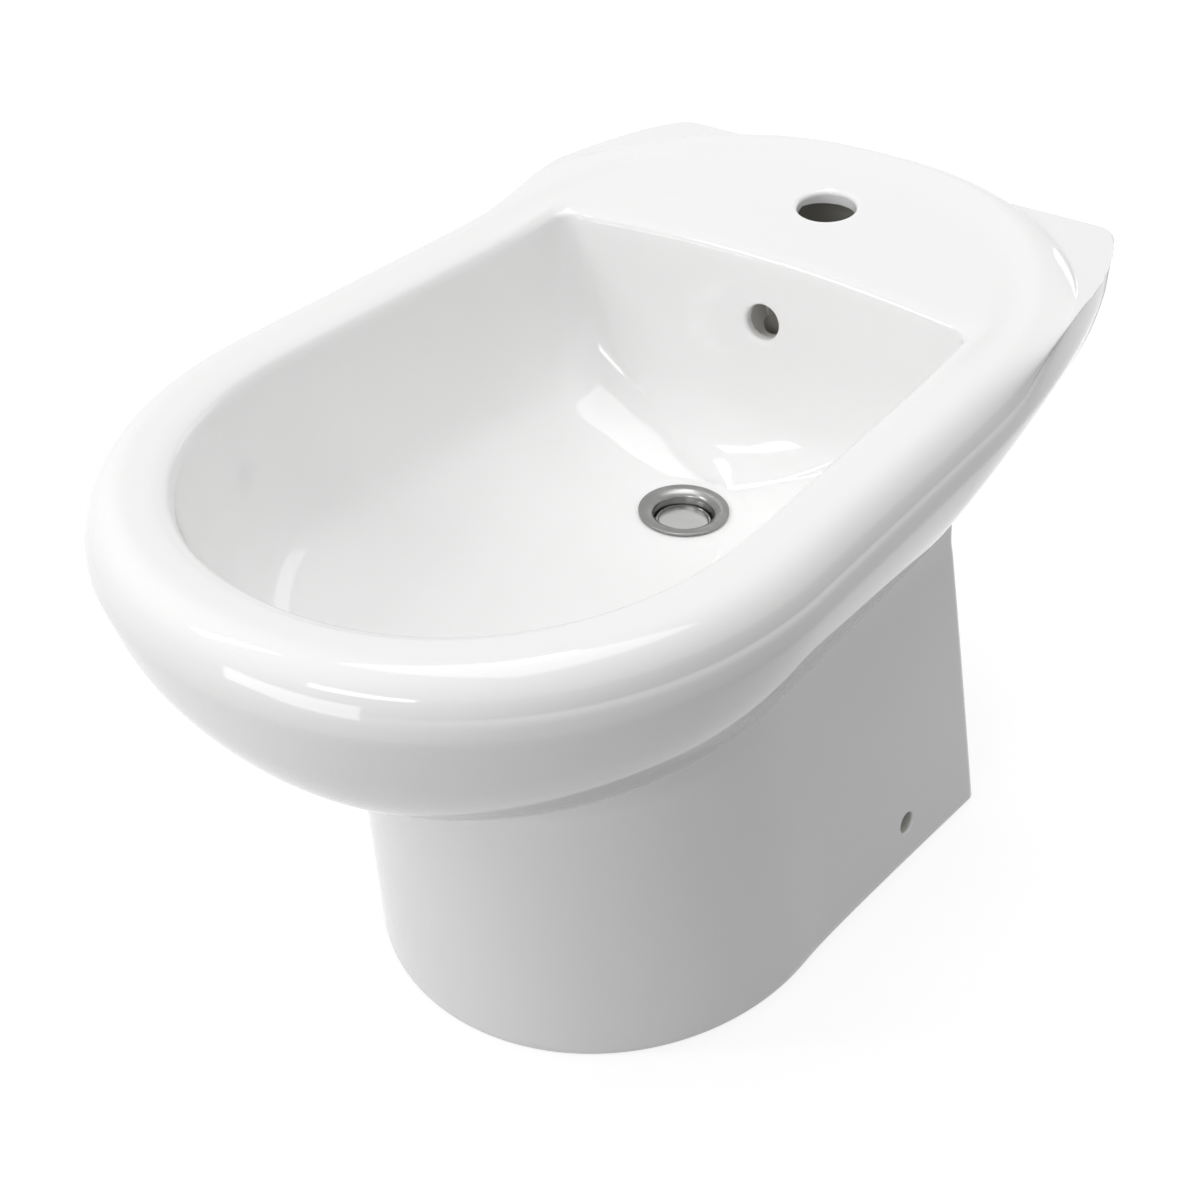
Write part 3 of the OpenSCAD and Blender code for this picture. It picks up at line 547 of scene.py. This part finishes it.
def hollowKeys():
    # the unglazed side: under the bowl, up behind the rim, and down inside the pedestal
    w, r, c = body["wall"], body["floorR"], cheek
    footIn = section(foot[0] - w, foot[1], foot[2] + w, foot[3] - w, 0, 0, p=2, flare=body["footFlare"])
    neckIn = section(neck[0] - w, neck[1], neck[2] + w, neck[3] - w, neck[4], neck[4], flare=drawIn)
    cheekZ = mixed(body["neckH"], body["widestH"], c["up"])
    cheekOut = section(mixed(neck[0], halfW, c["out"]) - w, rimC, mixed(neck[2], frontY, c["front"]) + w,
                       backY - w, cheekZ, body["widestH"], taper=ledgeTaper * c["taper"])
    inW = mixed(lipW, r, c["inSide"]) + w
    inF = mixed(lipF, wasteY - r, c["inFront"]) - w
    back = backY - c["backGap"] * w
    cheekTop = section((cheekOut[0] + inW) / 2, rimC, (cheekOut[2] + inF) / 2, back, cheekZ + c["crown"],
                       deckAt(back) - c["deckGap"] * w, taper=ledgeTaper * c["topTaper"],
                       cx=c["topBend"], cy=c["topBend"], y1=back)
    cheekIn = section(inW, rimC, inF, deckY + c["lipGap"] * w, cheekZ, deckAt(deckY) - c["lipUnder"] * w,
                      flare=drawIn, cx=c["inBend"], cy=c["inBend"], arch=arch)
    under = [bowlSection(bowlShares[i], w, mixed(3, w, (i - 1) / 5)) for i in range(6, 1, -1)]
    end = floorSection(r + w, body["floorH"] - w)
    belly = [bellySection(v, w) for v in bellyShares[2::-1]]
    column = [neckIn, mixed(neckIn, footIn, 0.5), footIn]
    return [end] + under + [cheekIn, cheekTop, cheekOut] + belly + column


def castingMesh():
    # from the hollow round the toe, up the column and the belly, over the roll and down into the bowl;
    # the slices drop rows that only steer a curve where it joins the next
    hollow = splineRows([ring(s) for s in hollowKeys()], 2)
    edge = body["toeIn"]
    toe = foot.copy()
    toe[[0, 2, 3]] += (-edge, edge, -edge)
    toeSide = mixed(foot, neck, 0.009)
    column = [ring(mixed(foot, neck, t)) for t in (0.03, 0.12, 0.25, 0.4, 0.55, 0.7, 0.82)]
    rim = rollRings()
    swell = splineRows([ring(mixed(foot, neck, 0.9)), ring(mixed(foot, neck, 0.965))]
                       + [ring(bellySection(v)) for v in bellyShares] + [ring(widest), rim[0]], 6)[:-6]
    bowl = splineRows([rim[-2], rim[-1], ring(crown), ring(deckMid)] + [ring(s) for s in lipRings]
                      + [ring(bowlSection(v)) for v in bowlShares]
                      + [ring(floorSection(body["floorR"], body["floorH"]))], 5)[10:]
    floor = [ring(floorSection(r, body["floorH"])) for r in (32, 26, 18)]
    rows = hollow + [ring(toe), ring(toeSide)] + column + swell + rim + bowl + floor
    n = len(rows[0])
    faces = [(i * n + j, i * n + (j + 1) % n, (i + 1) * n + (j + 1) % n, (i + 1) * n + j)
             for i in range(len(rows) - 1) for j in range(n)]
    faces.append(tuple(range(n))[::-1])
    faces.append(tuple((len(rows) - 1) * n + j for j in range(n)))
    ob = meshObject("chinaBody", np.concatenate(rows) * mm, faces, (whiteGlaze, bareClay))
    bare = np.zeros(len(faces), int)
    bare[:len(hollow) * n] = 1
    bare[-2] = 1
    ob.data.polygons.foreach_set("material_index", bare)
    return ob


holes = dict(tapD=35, tapBack=72, tapEdge=2.6, tapGlazed=14,
             overflowD=22, overflowH=330, overflowEdge=2.6, overflowL=6.6, overflowGlazed=6.4,
             fixD=14.5, fixH=30, fixBack=166, fixEdge=1.2, fixL=20, fixGlazed=2,
             bossL=41, bossWall=12, wasteD=46.5, openW=184, openH=330, openR=25, openDepth=30)
# shy keeps the faces of a piece off those of the piece that it runs into
duct = dict(bore=19, wall=6, behindLip=1, shy=0.4, outletShy=0.3, inletWider=1, collarIn=5, inletIn=6.2,
            dropAbove=4)
drill = dict(steps=72, edgeFrom=12, edgeRows=9, mouthL=6, above=9)     # edgeFrom is degrees off level
bossZ = body["floorH"] - holes["bossL"]


def edgedCutter(name, r, depth, edgeR, centre, axis, glazed):
    # a drill whose mouth leaves the soft edge that glaze runs over; past the glazed length its wall is bare
    slope = math.radians(drill["edgeFrom"])
    mouth = [(r + edgeR - edgeR * math.sin(a), -edgeR + edgeR * math.cos(a))
             for a in np.radians(np.linspace(drill["edgeFrom"], 90, drill["edgeRows"]))]
    out = mouth[0][0] + drill["mouthL"] * math.cos(slope)
    lip = (out, mouth[0][1] + drill["mouthL"] * math.sin(slope))
    profile = [(0, drill["above"]), (out, drill["above"]), lip] + mouth
    bareFrom = len(profile) * drill["steps"]
    profile += [(r, -glazed), (r, -depth), (0, -depth)]
    ob = lathe(name, profile, centre, axis, drill["steps"], (whiteGlaze, bareClay), 50)
    for p in ob.data.polygons[bareFrom:]:
        p.material_index = 1
    return ob


def archCutter():
    # the opening in the back, with rounded upper corners
    w, h, r = holes["openW"] / 2, holes["openH"], holes["openR"]
    outline = [(-w, -1)] + [(-x, z) for x, z in arcPoints(w - r, h - r, r, 0, 90, 10)]
    outline += [(-x, z) for x, z in outline[::-1]]
    y0 = backY - body["footBackGap"] - body["wall"] - holes["openDepth"]
    n = len(outline)
    verts = [(x * mm, y * mm, z * mm) for y in (y0, backY + 1) for x, z in outline]
    faces = [tuple(range(n)), tuple(range(n, 2 * n))[::-1]]
    faces += [(i, i + n, (i + 1) % n + n, (i + 1) % n) for i in range(n)]
    ob = meshObject("archCutter", verts, faces, (whiteGlaze, bareClay))
    ob.data.set_sharp_from_angle(angle=math.radians(30))
    return ob


def surfacePoint(tree, start, way):
    # where a line of sight first meets the casting, in mm, and the way out of it there
    spot, normal = tree.ray_cast(Vector(start) * mm, Vector(way))[:2]
    return spot / mm, normal if normal.dot(Vector(way)) < 0 else -normal


def joined(name, parts):
    # one mesh from parts that don't touch each other
    bm = bmesh.new()
    for ob in parts:
        bm.from_mesh(ob.data)
    me = bpy.data.meshes.new(name)
    bm.to_mesh(me)
    bm.free()
    for mat in (whiteGlaze, bareClay):
        me.materials.append(mat)
    return newObject(name, me)


def booled(ob, other, operation):
    m = ob.modifiers.new(operation, "BOOLEAN")
    m.operation = operation
    m.solver = "EXACT"
    m.object = other
    bake(ob)


def solidRod(name, r, start, end, dome=False, mat=1):
    # a round rod from start to end, with a half round foot where another rod turns off it
    way = Vector(end) - Vector(start)
    tip = [(r * math.sin(a), -r * math.cos(a)) for a in np.radians(np.linspace(0, 90, 9))]
    profile = (tip if dome else [(0, 0), (r, 0)]) + [(r, way.length), (0, way.length)]
    ob = lathe(name, profile, start, way, 48, (whiteGlaze, bareClay), 50)
    ob.data.polygons.foreach_set("material_index", [mat] * len(ob.data.polygons))
    return ob


def cornerNormals(ob, flip=1):
    # what cut faces take their shading from: triangles of a source, with the normal at each corner
    me = ob.data
    me.calc_loop_triangles()
    co = np.array([v.co for v in me.vertices])
    tri = np.array([t.vertices for t in me.loop_triangles])
    loops = np.array([t.loops for t in me.loop_triangles])
    normals = np.array([n.vector for n in me.corner_normals]) * flip
    return BVHTree.FromPolygons([Vector(v) for v in co], [tuple(t) for t in tri]), co, tri, normals[loops]


def normalAt(source, spot):
    # the shading normal of a source at its point nearest to a spot
    tree, co, tri, normals = source
    hit, _, i, _ = tree.find_nearest(spot)
    a, b, c = co[tri[i]]
    p = np.array(hit)
    area = np.linalg.norm(np.cross(b - a, c - a)) + 1e-18
    u = np.linalg.norm(np.cross(b - p, c - p)) / area
    v = np.linalg.norm(np.cross(p - a, c - a)) / area
    n = normals[i][0] * u + normals[i][1] * v + normals[i][2] * max(0, 1 - u - v)
    return n / (np.linalg.norm(n) + 1e-12)


def keepShading(ob, plain, sources):
    # faces left by the cuts keep the smooth normals of the surface that they came from
    def place(v):
        return tuple(np.round(np.array(v.co) * 1e7).astype(int))

    me = ob.data
    known = {place(v): tuple(v.normal) for v in plain.data.vertices}
    keys = [place(v) for v in me.vertices]
    out = [None] * len(me.loops)
    fitted = 0
    for p in me.polygons:
        corners = [keys[i] for i in p.vertices]
        if all(k in known for k in corners):
            for i, k in zip(p.loop_indices, corners):
                out[i] = known[k]
            continue
        fitted += 1
        source = min(sources, key=lambda s: s[0].find_nearest(p.center)[3])
        for i, v in zip(p.loop_indices, p.vertices):
            out[i] = tuple(normalAt(source, me.vertices[v].co.lerp(p.center, 0.04)))
    me.normals_split_custom_set(out)
    return fitted


def ductPieces(wellY):
    # the overflow's duct behind the bowl, its turn to the waste, the boss and the collar at the hole,
    # then the channels through them
    d = duct
    boreR, wellH = d["bore"] / 2, holes["overflowH"]
    r = boreR + d["wall"]
    y = deckY + body["wall"] + boreR + d["behindLip"]
    low, turn = (0, y, bossZ + r), (0, wasteY + 1, bossZ + r)
    added = [solidRod("ductShell", r, low, (0, y, wellH + r), True),
             solidRod("ductElbow", r - d["shy"], low, turn),
             solidRod("wasteBoss", holes["wasteD"] / 2 + holes["bossWall"], (0, wasteY, bossZ),
                      (0, wasteY, body["floorH"] - body["wall"] / 2)),
             solidRod("ductCollar", r - d["shy"], (0, y, wellH), (0, wellY + d["collarIn"], wellH))]
    channels = [solidRod("ductDrop", boreR, low, (0, y, wellH + d["dropAbove"]), True),
                solidRod("ductInlet", holes["overflowD"] / 2 + d["inletWider"], (0, y + 2, wellH),
                         (0, wellY + d["inletIn"], wellH)),
                solidRod("ductOutlet", boreR - d["outletShy"], low, turn)]
    return added, channels


def drillsFor(tree, wellSpot, wellWay):
    # cutters for the tap hole, the overflow, the waste and both fixing holes
    h = holes
    tilt = math.radians(body["slope"])
    tapY, fixY = backY - h["tapBack"], backY - h["fixBack"]
    over, beside = 60, 300     # how far off the sight lines start
    above = (0, tapY - over * math.sin(tilt), deckAt(tapY) + over * math.cos(tilt))
    tapSpot, tapWay = surfacePoint(tree, above, (0, math.sin(tilt), -math.cos(tilt)))
    drills = [edgedCutter("tapCutter", h["tapD"] / 2, 3 * body["wall"], h["tapEdge"], tapSpot, tapWay,
                          h["tapGlazed"]),
              edgedCutter("wellCutter", h["overflowD"] / 2, h["overflowL"], h["overflowEdge"], wellSpot,
                          wellWay, h["overflowGlazed"]),
              solidRod("wasteCutter", h["wasteD"] / 2, (0, wasteY, bossZ - 2),
                       (0, wasteY, body["floorH"] + 7), mat=0)]
    for side in (-1, 1):
        spot, way = surfacePoint(tree, (side * beside, fixY, h["fixH"]), (-side, 0, 0))
        drills.append(edgedCutter("fixCutter", h["fixD"] / 2, h["fixL"], h["fixEdge"], spot, way,
                                  h["fixGlazed"]))
    return drills


def drilledCasting():
    ob = castingMesh()
    plain = newObject("plainCasting", ob.data.copy())
    print("casting:", len(plain.data.polygons), "faces")
    tree = cornerNormals(plain)[0]
    wellSpot, wellWay = surfacePoint(tree, (0, 0, holes["overflowH"]), (0, 1, 0))
    added, channels = ductPieces(wellSpot[1])
    drills = drillsFor(tree, wellSpot, wellWay)
    together = joined("cutters", drills)
    opening = archCutter()
    booled(ob, opening, "DIFFERENCE")
    for part in added:
        booled(ob, part, "UNION")
    for part in [together] + channels:
        booled(ob, part, "DIFFERENCE")
    sources = [cornerNormals(plain)] + [cornerNormals(part) for part in added]
    sources += [cornerNormals(part, -1) for part in drills + channels + [opening]]
    print("cuts: faces with fitted normals:", keepShading(ob, plain, sources))
    for part in [plain, together, opening] + added + drills + channels:
        bpy.data.objects.remove(part)
    return ob


chinaBody = drilledCasting()
print("china body:", len(chinaBody.data.polygons), "faces")
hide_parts("ceramic_body")
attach(chinaBody, "body")


# Turned and moulded pieces under the bowl, in mm about their own axis; nodes raise their ribs and threads

class Rule(Nodes):
    # a tree that moves the points of a turned piece; its named inputs are counts, or sizes in metres
    def __init__(self, name, counts, sizes):
        super().__init__(bpy.data.node_groups.new(name, "GeometryNodeTree"))
        face = self.tree.interface
        face.new_socket("Mesh", in_out="INPUT", socket_type="NodeSocketGeometry")
        for k in counts:
            face.new_socket(k, in_out="INPUT", socket_type="NodeSocketInt")
        for k in sizes:
            face.new_socket(k, in_out="INPUT", socket_type="NodeSocketFloat")
        self.keys = {s.name: s.identifier for s in face.items_tree}
        face.new_socket("Mesh", in_out="OUTPUT", socket_type="NodeSocketGeometry")
        self.start = self.tree.nodes.new("NodeGroupInput")
        self.x, self.y, self.z = self.split(self.add("GeometryNodeInputPosition"))
        self.r = (self.x * self.x + self.y * self.y).then("SQRT")
        self.turn = self.y.then("ARCTAN2", self.x) / (2 * math.pi)

    def size(self, name):
        return Sock(self.tree, self.start.outputs[name])

    def band(self):
        # 1 on the outer wall between two heights, easing to 0 at both ends
        low, high, soft = self.size("From"), self.size("To"), self.size("Soft")
        ends = self.ramp(self.z, low, low + soft) * self.ramp(self.z, high, high - soft)
        return ends * self.r.then("GREATER_THAN", self.size("Outside"))

    def close(self, rise, mat):
        way = self.add("ShaderNodeCombineXYZ", X=self.x / self.r * rise, Y=self.y / self.r * rise)
        moved = self.add("GeometryNodeSetPosition", Geometry=self.size("Mesh"), Offset=way)
        real = self.add("GeometryNodeRealizeInstances", Geometry=moved)
        end = self.tree.nodes.new("NodeGroupOutput")
        coated = self.add("GeometryNodeSetMaterial", Geometry=real, Material=mat)
        joinSocket(self.tree, end.inputs["Mesh"], coated)
        return self

    def run(self, ob, **values):
        m = ob.modifiers.new(self.tree.name, "NODES")
        m.node_group = self.tree
        for k, v in values.items():
            m[self.keys[k]] = v
        return bake(ob)


def threadRule(name, mat):
    g = Rule(name, (), ("Pitch", "Depth", "From", "To", "Soft", "Outside"))
    phase = (g.z / g.size("Pitch") - g.turn).then("FRACT")
    groove = g.ramp((phase * 2 - 1).then("ABSOLUTE"), 0.1, 0.9)     # 1 in the root between two crests
    return g.close(groove * g.band() * g.size("Depth") * -1, mat)


def gripRule(name, mat):
    g = Rule(name, ("Count",), ("Rise", "Width", "From", "To", "Soft", "Outside"))
    apart = ((g.turn * g.size("Count")).then("FRACT") - 0.5).then("ABSOLUTE") * 2
    rib = g.ramp(apart, g.size("Width") + 0.12, g.size("Width") - 0.12)     # flanks ease over 0.24 of a step
    return g.close(rib * g.band() * g.size("Rise"), mat)


def placed(ob, centre, axis=(0, 0, 1)):
    turn = Vector((0, 0, 1)).rotation_difference(Vector(axis)).to_matrix().to_4x4()
    ob.data.transform(Matrix.Translation(Vector(centre) * mm) @ turn)
    return ob


def finished(ob, node, part, crease=38):
    ob.data.set_sharp_from_angle(angle=math.radians(crease))
    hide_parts(node)
    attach(ob, part)


def quarterRound(a, b, n):
    # a quarter round from a to b, both (radius, height), starting level
    turns = [math.pi / 2 * i / n for i in range(n + 1)]
    return [(mixed(a[0], b[0], math.sin(s)), mixed(b[1], a[1], math.cos(s))) for s in turns]


waste = dict(tailD=41.9, tailWall=3.4, tailL=74, sealT=0.9, flangeD=53.6, flangeT=1.3, edgeR=0.45, brim=2.5,
             throatD=35.2, dishDepth=4.2, throatDepth=8.6, seatIn=3.2, seatT=3, seatRise=1,
             slotW=12, slotH=14, slotUp=7, crossDown=4, crossH=6, spokeW=3, hubR=11.5, hubBore=8.65,
             pitch=2.31, threadDepth=1.3, threadStart=3, threadSoft=0.8, turnRows=8)
flangeZ = body["floorH"] + waste["sealT"]
edgeZ = flangeZ + waste["flangeT"]
tailZ = flangeZ - waste["tailL"]
seatZ = edgeZ - waste["dishDepth"] - waste["throatDepth"]


def boxMesh(name, low, high, turn=0):
    x0, y0, z0 = low
    x1, y1, z1 = high
    corners = [(x, y, z) for z in (z0, z1) for x, y in ((x0, y0), (x1, y0), (x1, y1), (x0, y1))]
    faces = [(0, 1, 2, 3), (4, 5, 6, 7), (0, 1, 5, 4), (1, 2, 6, 5), (2, 3, 7, 6), (3, 0, 4, 7)]
    spin = Matrix.Rotation(math.radians(turn), 3, "Z")
    return meshObject(name, [(spin @ Vector(c)) * mm for c in corners], faces, (satinSteel,), False)


def drum(name, r, low, high):
    return lathe(name, [(0, low), (r, low), (r, high), (0, high)], (0, 0, 0), materials=(satinSteel,))


def wasteFitting():
    # flange, dish, throat and threaded tail in one turned piece; slots, and a hub on three spokes inside
    w = waste
    tailR, bore, rim = w["tailD"] / 2, w["tailD"] / 2 - w["tailWall"], w["flangeD"] / 2
    throat, seat, e = w["throatD"] / 2, w["throatD"] / 2 - w["seatIn"], w["edgeR"]
    threadRows = int(w["tailL"] / w["pitch"] * w["turnRows"])
    outside = [(tailR, mixed(tailZ, flangeZ, i / threadRows)) for i in range(threadRows + 1)]
    edge = [(rim, flangeZ)] + arcPoints(rim - e, edgeZ - e, e, 0, 90, 5)
    dish = quarterRound((rim - w["brim"], edgeZ), (throat, edgeZ - w["dishDepth"]), 18)
    well = [(throat, seatZ + w["seatRise"] + 0.5), (throat - 0.3, seatZ + w["seatRise"]), (seat, seatZ),
            (seat, seatZ - w["seatT"]), (bore, seatZ - w["seatT"] - 2)]
    profile = [(bore, tailZ)] + outside + edge + dish + well
    ob = lathe("wasteFitting", profile, (0, 0, 0), materials=(satinSteel,))
    threadRule("tailThread", satinSteel).run(
        ob, Pitch=w["pitch"] * mm, Depth=w["threadDepth"] * mm, From=tailZ * mm,
        To=(flangeZ - w["threadStart"]) * mm, Soft=w["threadSoft"] * mm, Outside=(tailR - 0.1) * mm)
    slotZ = bossZ + w["slotUp"]
    crossZ = bossZ - w["crossDown"]
    crossTop = crossZ + w["crossH"]
    halfSlot, halfSpoke = w["slotW"] / 2, w["spokeW"] / 2
    slots = [boxMesh("slot", (0, -halfSlot, slotZ), (w["tailD"], halfSlot, slotZ + w["slotH"]), 45 + 90 * k)
             for k in range(4)]
    hub = drum("hub", w["hubR"], crossZ, crossTop)
    spokes = [boxMesh("spoke", (1, -halfSpoke, crossZ + 0.05),
                      (bore + w["tailWall"] / 2, halfSpoke, crossTop - 0.05), 120 * k) for k in range(3)]
    hubDrill = drum("hubDrill", w["hubBore"], crossZ - 2, crossTop + 2)
    for part in slots:
        booled(ob, part, "DIFFERENCE")
    for part in [hub] + spokes:
        booled(ob, part, "UNION")
    booled(ob, hubDrill, "DIFFERENCE")
    for part in slots + [hub, hubDrill] + spokes:
        bpy.data.objects.remove(part)
    finished(placed(ob, (0, wasteY, 0)), "waste_body", "body")


plug = dict(capD=33.4, capT=2.2, dome=1.4, sealT=2, sealRise=0.34, sealFit=0.3, stemR=3.5, sink=0.6,
            edgeR=0.5, grooveR=15.3, grooveW=0.5, grooveDepth=0.16, domeRows=12)


def plugButton():
    # a domed button with a fine turned line just inside its edge
    p = plug
    r, e = p["capD"] / 2, p["edgeR"]
    low = seatZ + p["sealRise"] + p["sealFit"] + p["sealT"]
    edge = low + p["capT"]
    domeR = (r * r + p["dome"] ** 2) / (2 * p["dome"])
    rows = sorted([r - 0.25, r - 0.6, p["grooveR"] + p["grooveW"], p["grooveR"]]
                  + [r * 0.9 * (1 - i / p["domeRows"]) for i in range(p["domeRows"])], reverse=True)
    top = [(x, edge + p["dome"] - domeR + math.sqrt(domeR ** 2 - x * x)) for x in rows]
    grooveEnd = p["grooveR"] + 0.4 * p["grooveW"]
    top = [(x, z - p["grooveDepth"] if p["grooveR"] <= x < grooveEnd else z) for x, z in top]
    side = [(p["stemR"], low), (r - e, low), (r, low + e)] + arcPoints(r - e, edge - e, e, 0, 60, 4)
    profile = side + top + [(0, edge + p["dome"]), (0, edge - p["sink"]), (p["stemR"], edge - p["sink"])]
    ob = lathe("plugButton", profile, (0, 0, 0), steps=128, materials=(satinChrome,))
    finished(placed(ob, (0, wasteY, 0)), "plug_cap", "plug")


trap = dict(pipeR=16, fit=0.3, threadFit=0.15, r=32, wall=3, top=132, length=62, socketR=21, socketH=15,
            outletH=108, grips=12, gripRise=2, gripShare=0.3, gripLow=0.2, gripHigh=1.6, gripSoft=1.2,
            nutWall=4, edgeR=0.7, slipH=14, slipUp=4.5, slipLip=3, tailNutH=19, tailNutZ=157.4, tailNutLip=3,
            cupL=38, cupLap=12, cupSeal=2, cuffT=3.5, cuffDown=8)


def grippedPieces():
    t = trap
    bore, fit = t["pipeR"] + t["fit"], t["threadFit"]
    grip = gripRule("gripRibs", trapPlastic)
    slipR, slipIn, lip = t["socketR"] + t["nutWall"], t["socketR"] + fit, t["slipLip"]
    low, high = t["slipUp"] - t["slipH"], t["slipUp"]
    slip = [(slipIn, low), (slipR, low), (slipR, high), (bore, high), (bore, high - lip),
            (slipIn, high - lip)]
    tailR, tailH, lip = waste["tailD"] / 2, t["tailNutH"], t["tailNutLip"]
    nutR, tailIn = tailR + t["nutWall"], tailR + fit
    tail = [(bore, 0), (nutR, 0), (nutR, tailH), (tailIn, tailH), (tailIn, lip), (bore, lip)]
    cuffLow, cuffHigh = t["cupL"] - t["cuffDown"], t["cupL"] + t["cupLap"]
    cupR, cupIn, cuffR, seat = t["r"], t["r"] - t["wall"], t["r"] + t["cuffT"], t["cupL"] - t["cupSeal"]
    cup = [(0, 0), (cupR, 0), (cupR, cuffLow), (cuffR, cuffLow), (cuffR, cuffHigh), (cupR + fit, cuffHigh),
           (cupR + fit, seat), (cupIn, seat), (cupIn, t["wall"]), (0, t["wall"])]
    inletSpot = (0, wasteY, t["top"] + t["socketH"])
    outletSpot = (0, wasteY + t["r"] + t["socketH"], t["outletH"])
    nutSpot, cupSpot = (0, wasteY, t["tailNutZ"]), (0, wasteY, t["top"] - t["length"] - t["cupL"])
    pieces = [("tailNut", "tail_nut", tail, 0, tailH, nutR, nutSpot, (0, 0, 1)),
              ("trapInletNut", "trap_inlet_nut", slip, low, high, slipR, inletSpot, (0, 0, 1)),
              ("outletNut", "outlet_nut", slip, low, high, slipR, outletSpot, (0, 1, 0)),
              ("trapCup", "trap_cup", cup, cuffLow, cuffHigh, cuffR, cupSpot, (0, 0, 1))]
    for name, node, outline, z0, z1, r, centre, axis in pieces:
        ob = lathe(name, softened(outline, t["edgeR"]), (0, 0, 0), steps=16 * t["grips"],
                   materials=(trapPlastic,))
        grip.run(ob, Count=t["grips"], Rise=t["gripRise"] * mm, Width=t["gripShare"],
                 From=(z0 + t["gripLow"]) * mm, To=(z1 - t["gripHigh"]) * mm, Soft=t["gripSoft"] * mm,
                 Outside=(r - 0.2) * mm)
        finished(placed(ob, centre, axis), node, "body")


def softened(outline, r, rowGap=1.6):
    # small rounds on the corners of a closed outline, and rows between them for the ribs to rise from
    out = []
    for i, here in enumerate(outline):
        before, here, after = [Vector(v) for v in (outline[i - 1], here, outline[(i + 1) % len(outline)])]
        if here.x < 1e-6:
            out.append(tuple(here))
            continue
        a, b = before - here, after - here
        cut = min(r, a.length / 3, b.length / 3)
        p, q = here + a.normalized() * cut, here + b.normalized() * cut
        for s in (0, 0.33, 0.67, 1):
            out.append(tuple(p * (1 - s) ** 2 + here * 2 * s * (1 - s) + q * s ** 2))
        rows = int(b.length / rowGap) if after.x > 1e-6 else 0
        end = after - b.normalized() * min(r, b.length / 3)
        out += [tuple(q.lerp(end, j / rows)) for j in range(1, rows)]
    return out


wasteFitting()
plugButton()
grippedPieces()
print("waste, plug and nuts made")


# Camera, floor and light

view = dict(azimuth=36.4805, elevation=36.5280, lens=48.694, sensor=36, place=(0.43631, -0.60004, 0.76619))


def makeCamera():
    az = math.radians(view["azimuth"])
    el = math.radians(view["elevation"])
    back = Vector((math.sin(az) * math.cos(el), -math.cos(az) * math.cos(el), math.sin(el)))
    right = Vector((math.cos(az), math.sin(az), 0))
    data = bpy.data.cameras.new("camera")
    data.lens = view["lens"]
    data.sensor_width = view["sensor"]
    data.clip_start = 0.02
    cam = newObject("camera", data)
    turn = Matrix((right, back.cross(right), back)).transposed()
    cam.matrix_world = Matrix.Translation(view["place"]) @ turn.to_4x4()
    scene.camera = cam


makeCamera()
scene.view_settings.view_transform = "Standard"

# each box: name, place, aim, size in metres, watts
studio = dict(floorHalf=30, floorSeen=0.35, floorUnseen=0.2, floorGlow=0.76, dome=0.39,
              boxes=(("topBox", (0, 0.2, 2.6), (0, 0, 0.3), (1.6, 1.6), 19),
                     ("sideWindow", (-1.58, -1.58, 2.3), (0, 0, 0.3), (0.16, 1.3), 18),
                     ("frontBox", (0.3, -2.6, 1.6), (0, 0, 0.3), (1.4, 0.35), 10.5),
                     ("lowBox", (-0.4, -2.4, 0.35), (0, 0, 0.15), (1.6, 0.6), 11),
                     ("backBox", (0.5, 2.6, 1.2), (0, 0, 0.2), (1.4, 0.8), 5),
                     ("skyWindow", (-0.6, 0.9, 2.9), (0, 0, 0.35), (0.15, 0.9), 4)))


def seenShare(nodes):
    # 1 where the camera sees a surface straight, in a reflection or through glass, else 0
    rays = nodes.tree.nodes.new("ShaderNodeLightPath").outputs
    kinds = ("Camera", "Glossy", "Transmission")
    camera, glossy, through = [Sock(nodes.tree, rays[f"Is {k} Ray"]) for k in kinds]
    return (camera + glossy + through).then("MINIMUM", 1.0)


def makeFloor():
    f = Finish("paleFloor", (0.9, 0.9, 0.9), 0.85)
    seen = seenShare(f)
    dark = (studio["floorUnseen"],) * 3
    pale = (studio["floorSeen"],) * 3
    f.feed(Base_Color=f.blend(seen, dark, pale))
    glow = f.add("ShaderNodeEmission", Strength=seen * studio["floorGlow"])
    surface = f.add("ShaderNodeAddShader", i0=Sock(f.tree, f.shader.outputs[0]), i1=glow)
    joinSocket(f.tree, f.end, surface)
    e = studio["floorHalf"]
    corners = [(-e, -e, 0), (e, -e, 0), (e, e, 0), (-e, e, 0)]
    meshObject("floor", corners, [(0, 1, 2, 3)], (f.mat,), False)


def makeWorld():
    world = bpy.data.worlds.new("studio")
    scene.world = world
    world.use_nodes = True
    n = Nodes(world.node_tree)
    dome = n.add("ShaderNodeBackground", Color=(1, 1, 1), Strength=studio["dome"])
    plain = n.add("ShaderNodeBackground", Color=(1, 1, 1), Strength=1.0)
    mix = n.add("ShaderNodeMixShader", Fac=seenShare(n), i1=dome, i2=plain)
    joinSocket(n.tree, n.tree.nodes["World Output"].inputs["Surface"], mix)


def softBox(name, place, aim, size, watts):
    data = bpy.data.lights.new(name, "AREA")
    data.shape = "RECTANGLE"
    data.size, data.size_y = size
    data.energy = watts
    away = Vector(place) - Vector(aim)
    ob = newObject(name, data)
    ob.matrix_world = Matrix.Translation(place) @ away.to_track_quat("Z", "Y").to_matrix().to_4x4()


makeFloor()
makeWorld()
for b in studio["boxes"]:
    softBox(*b)
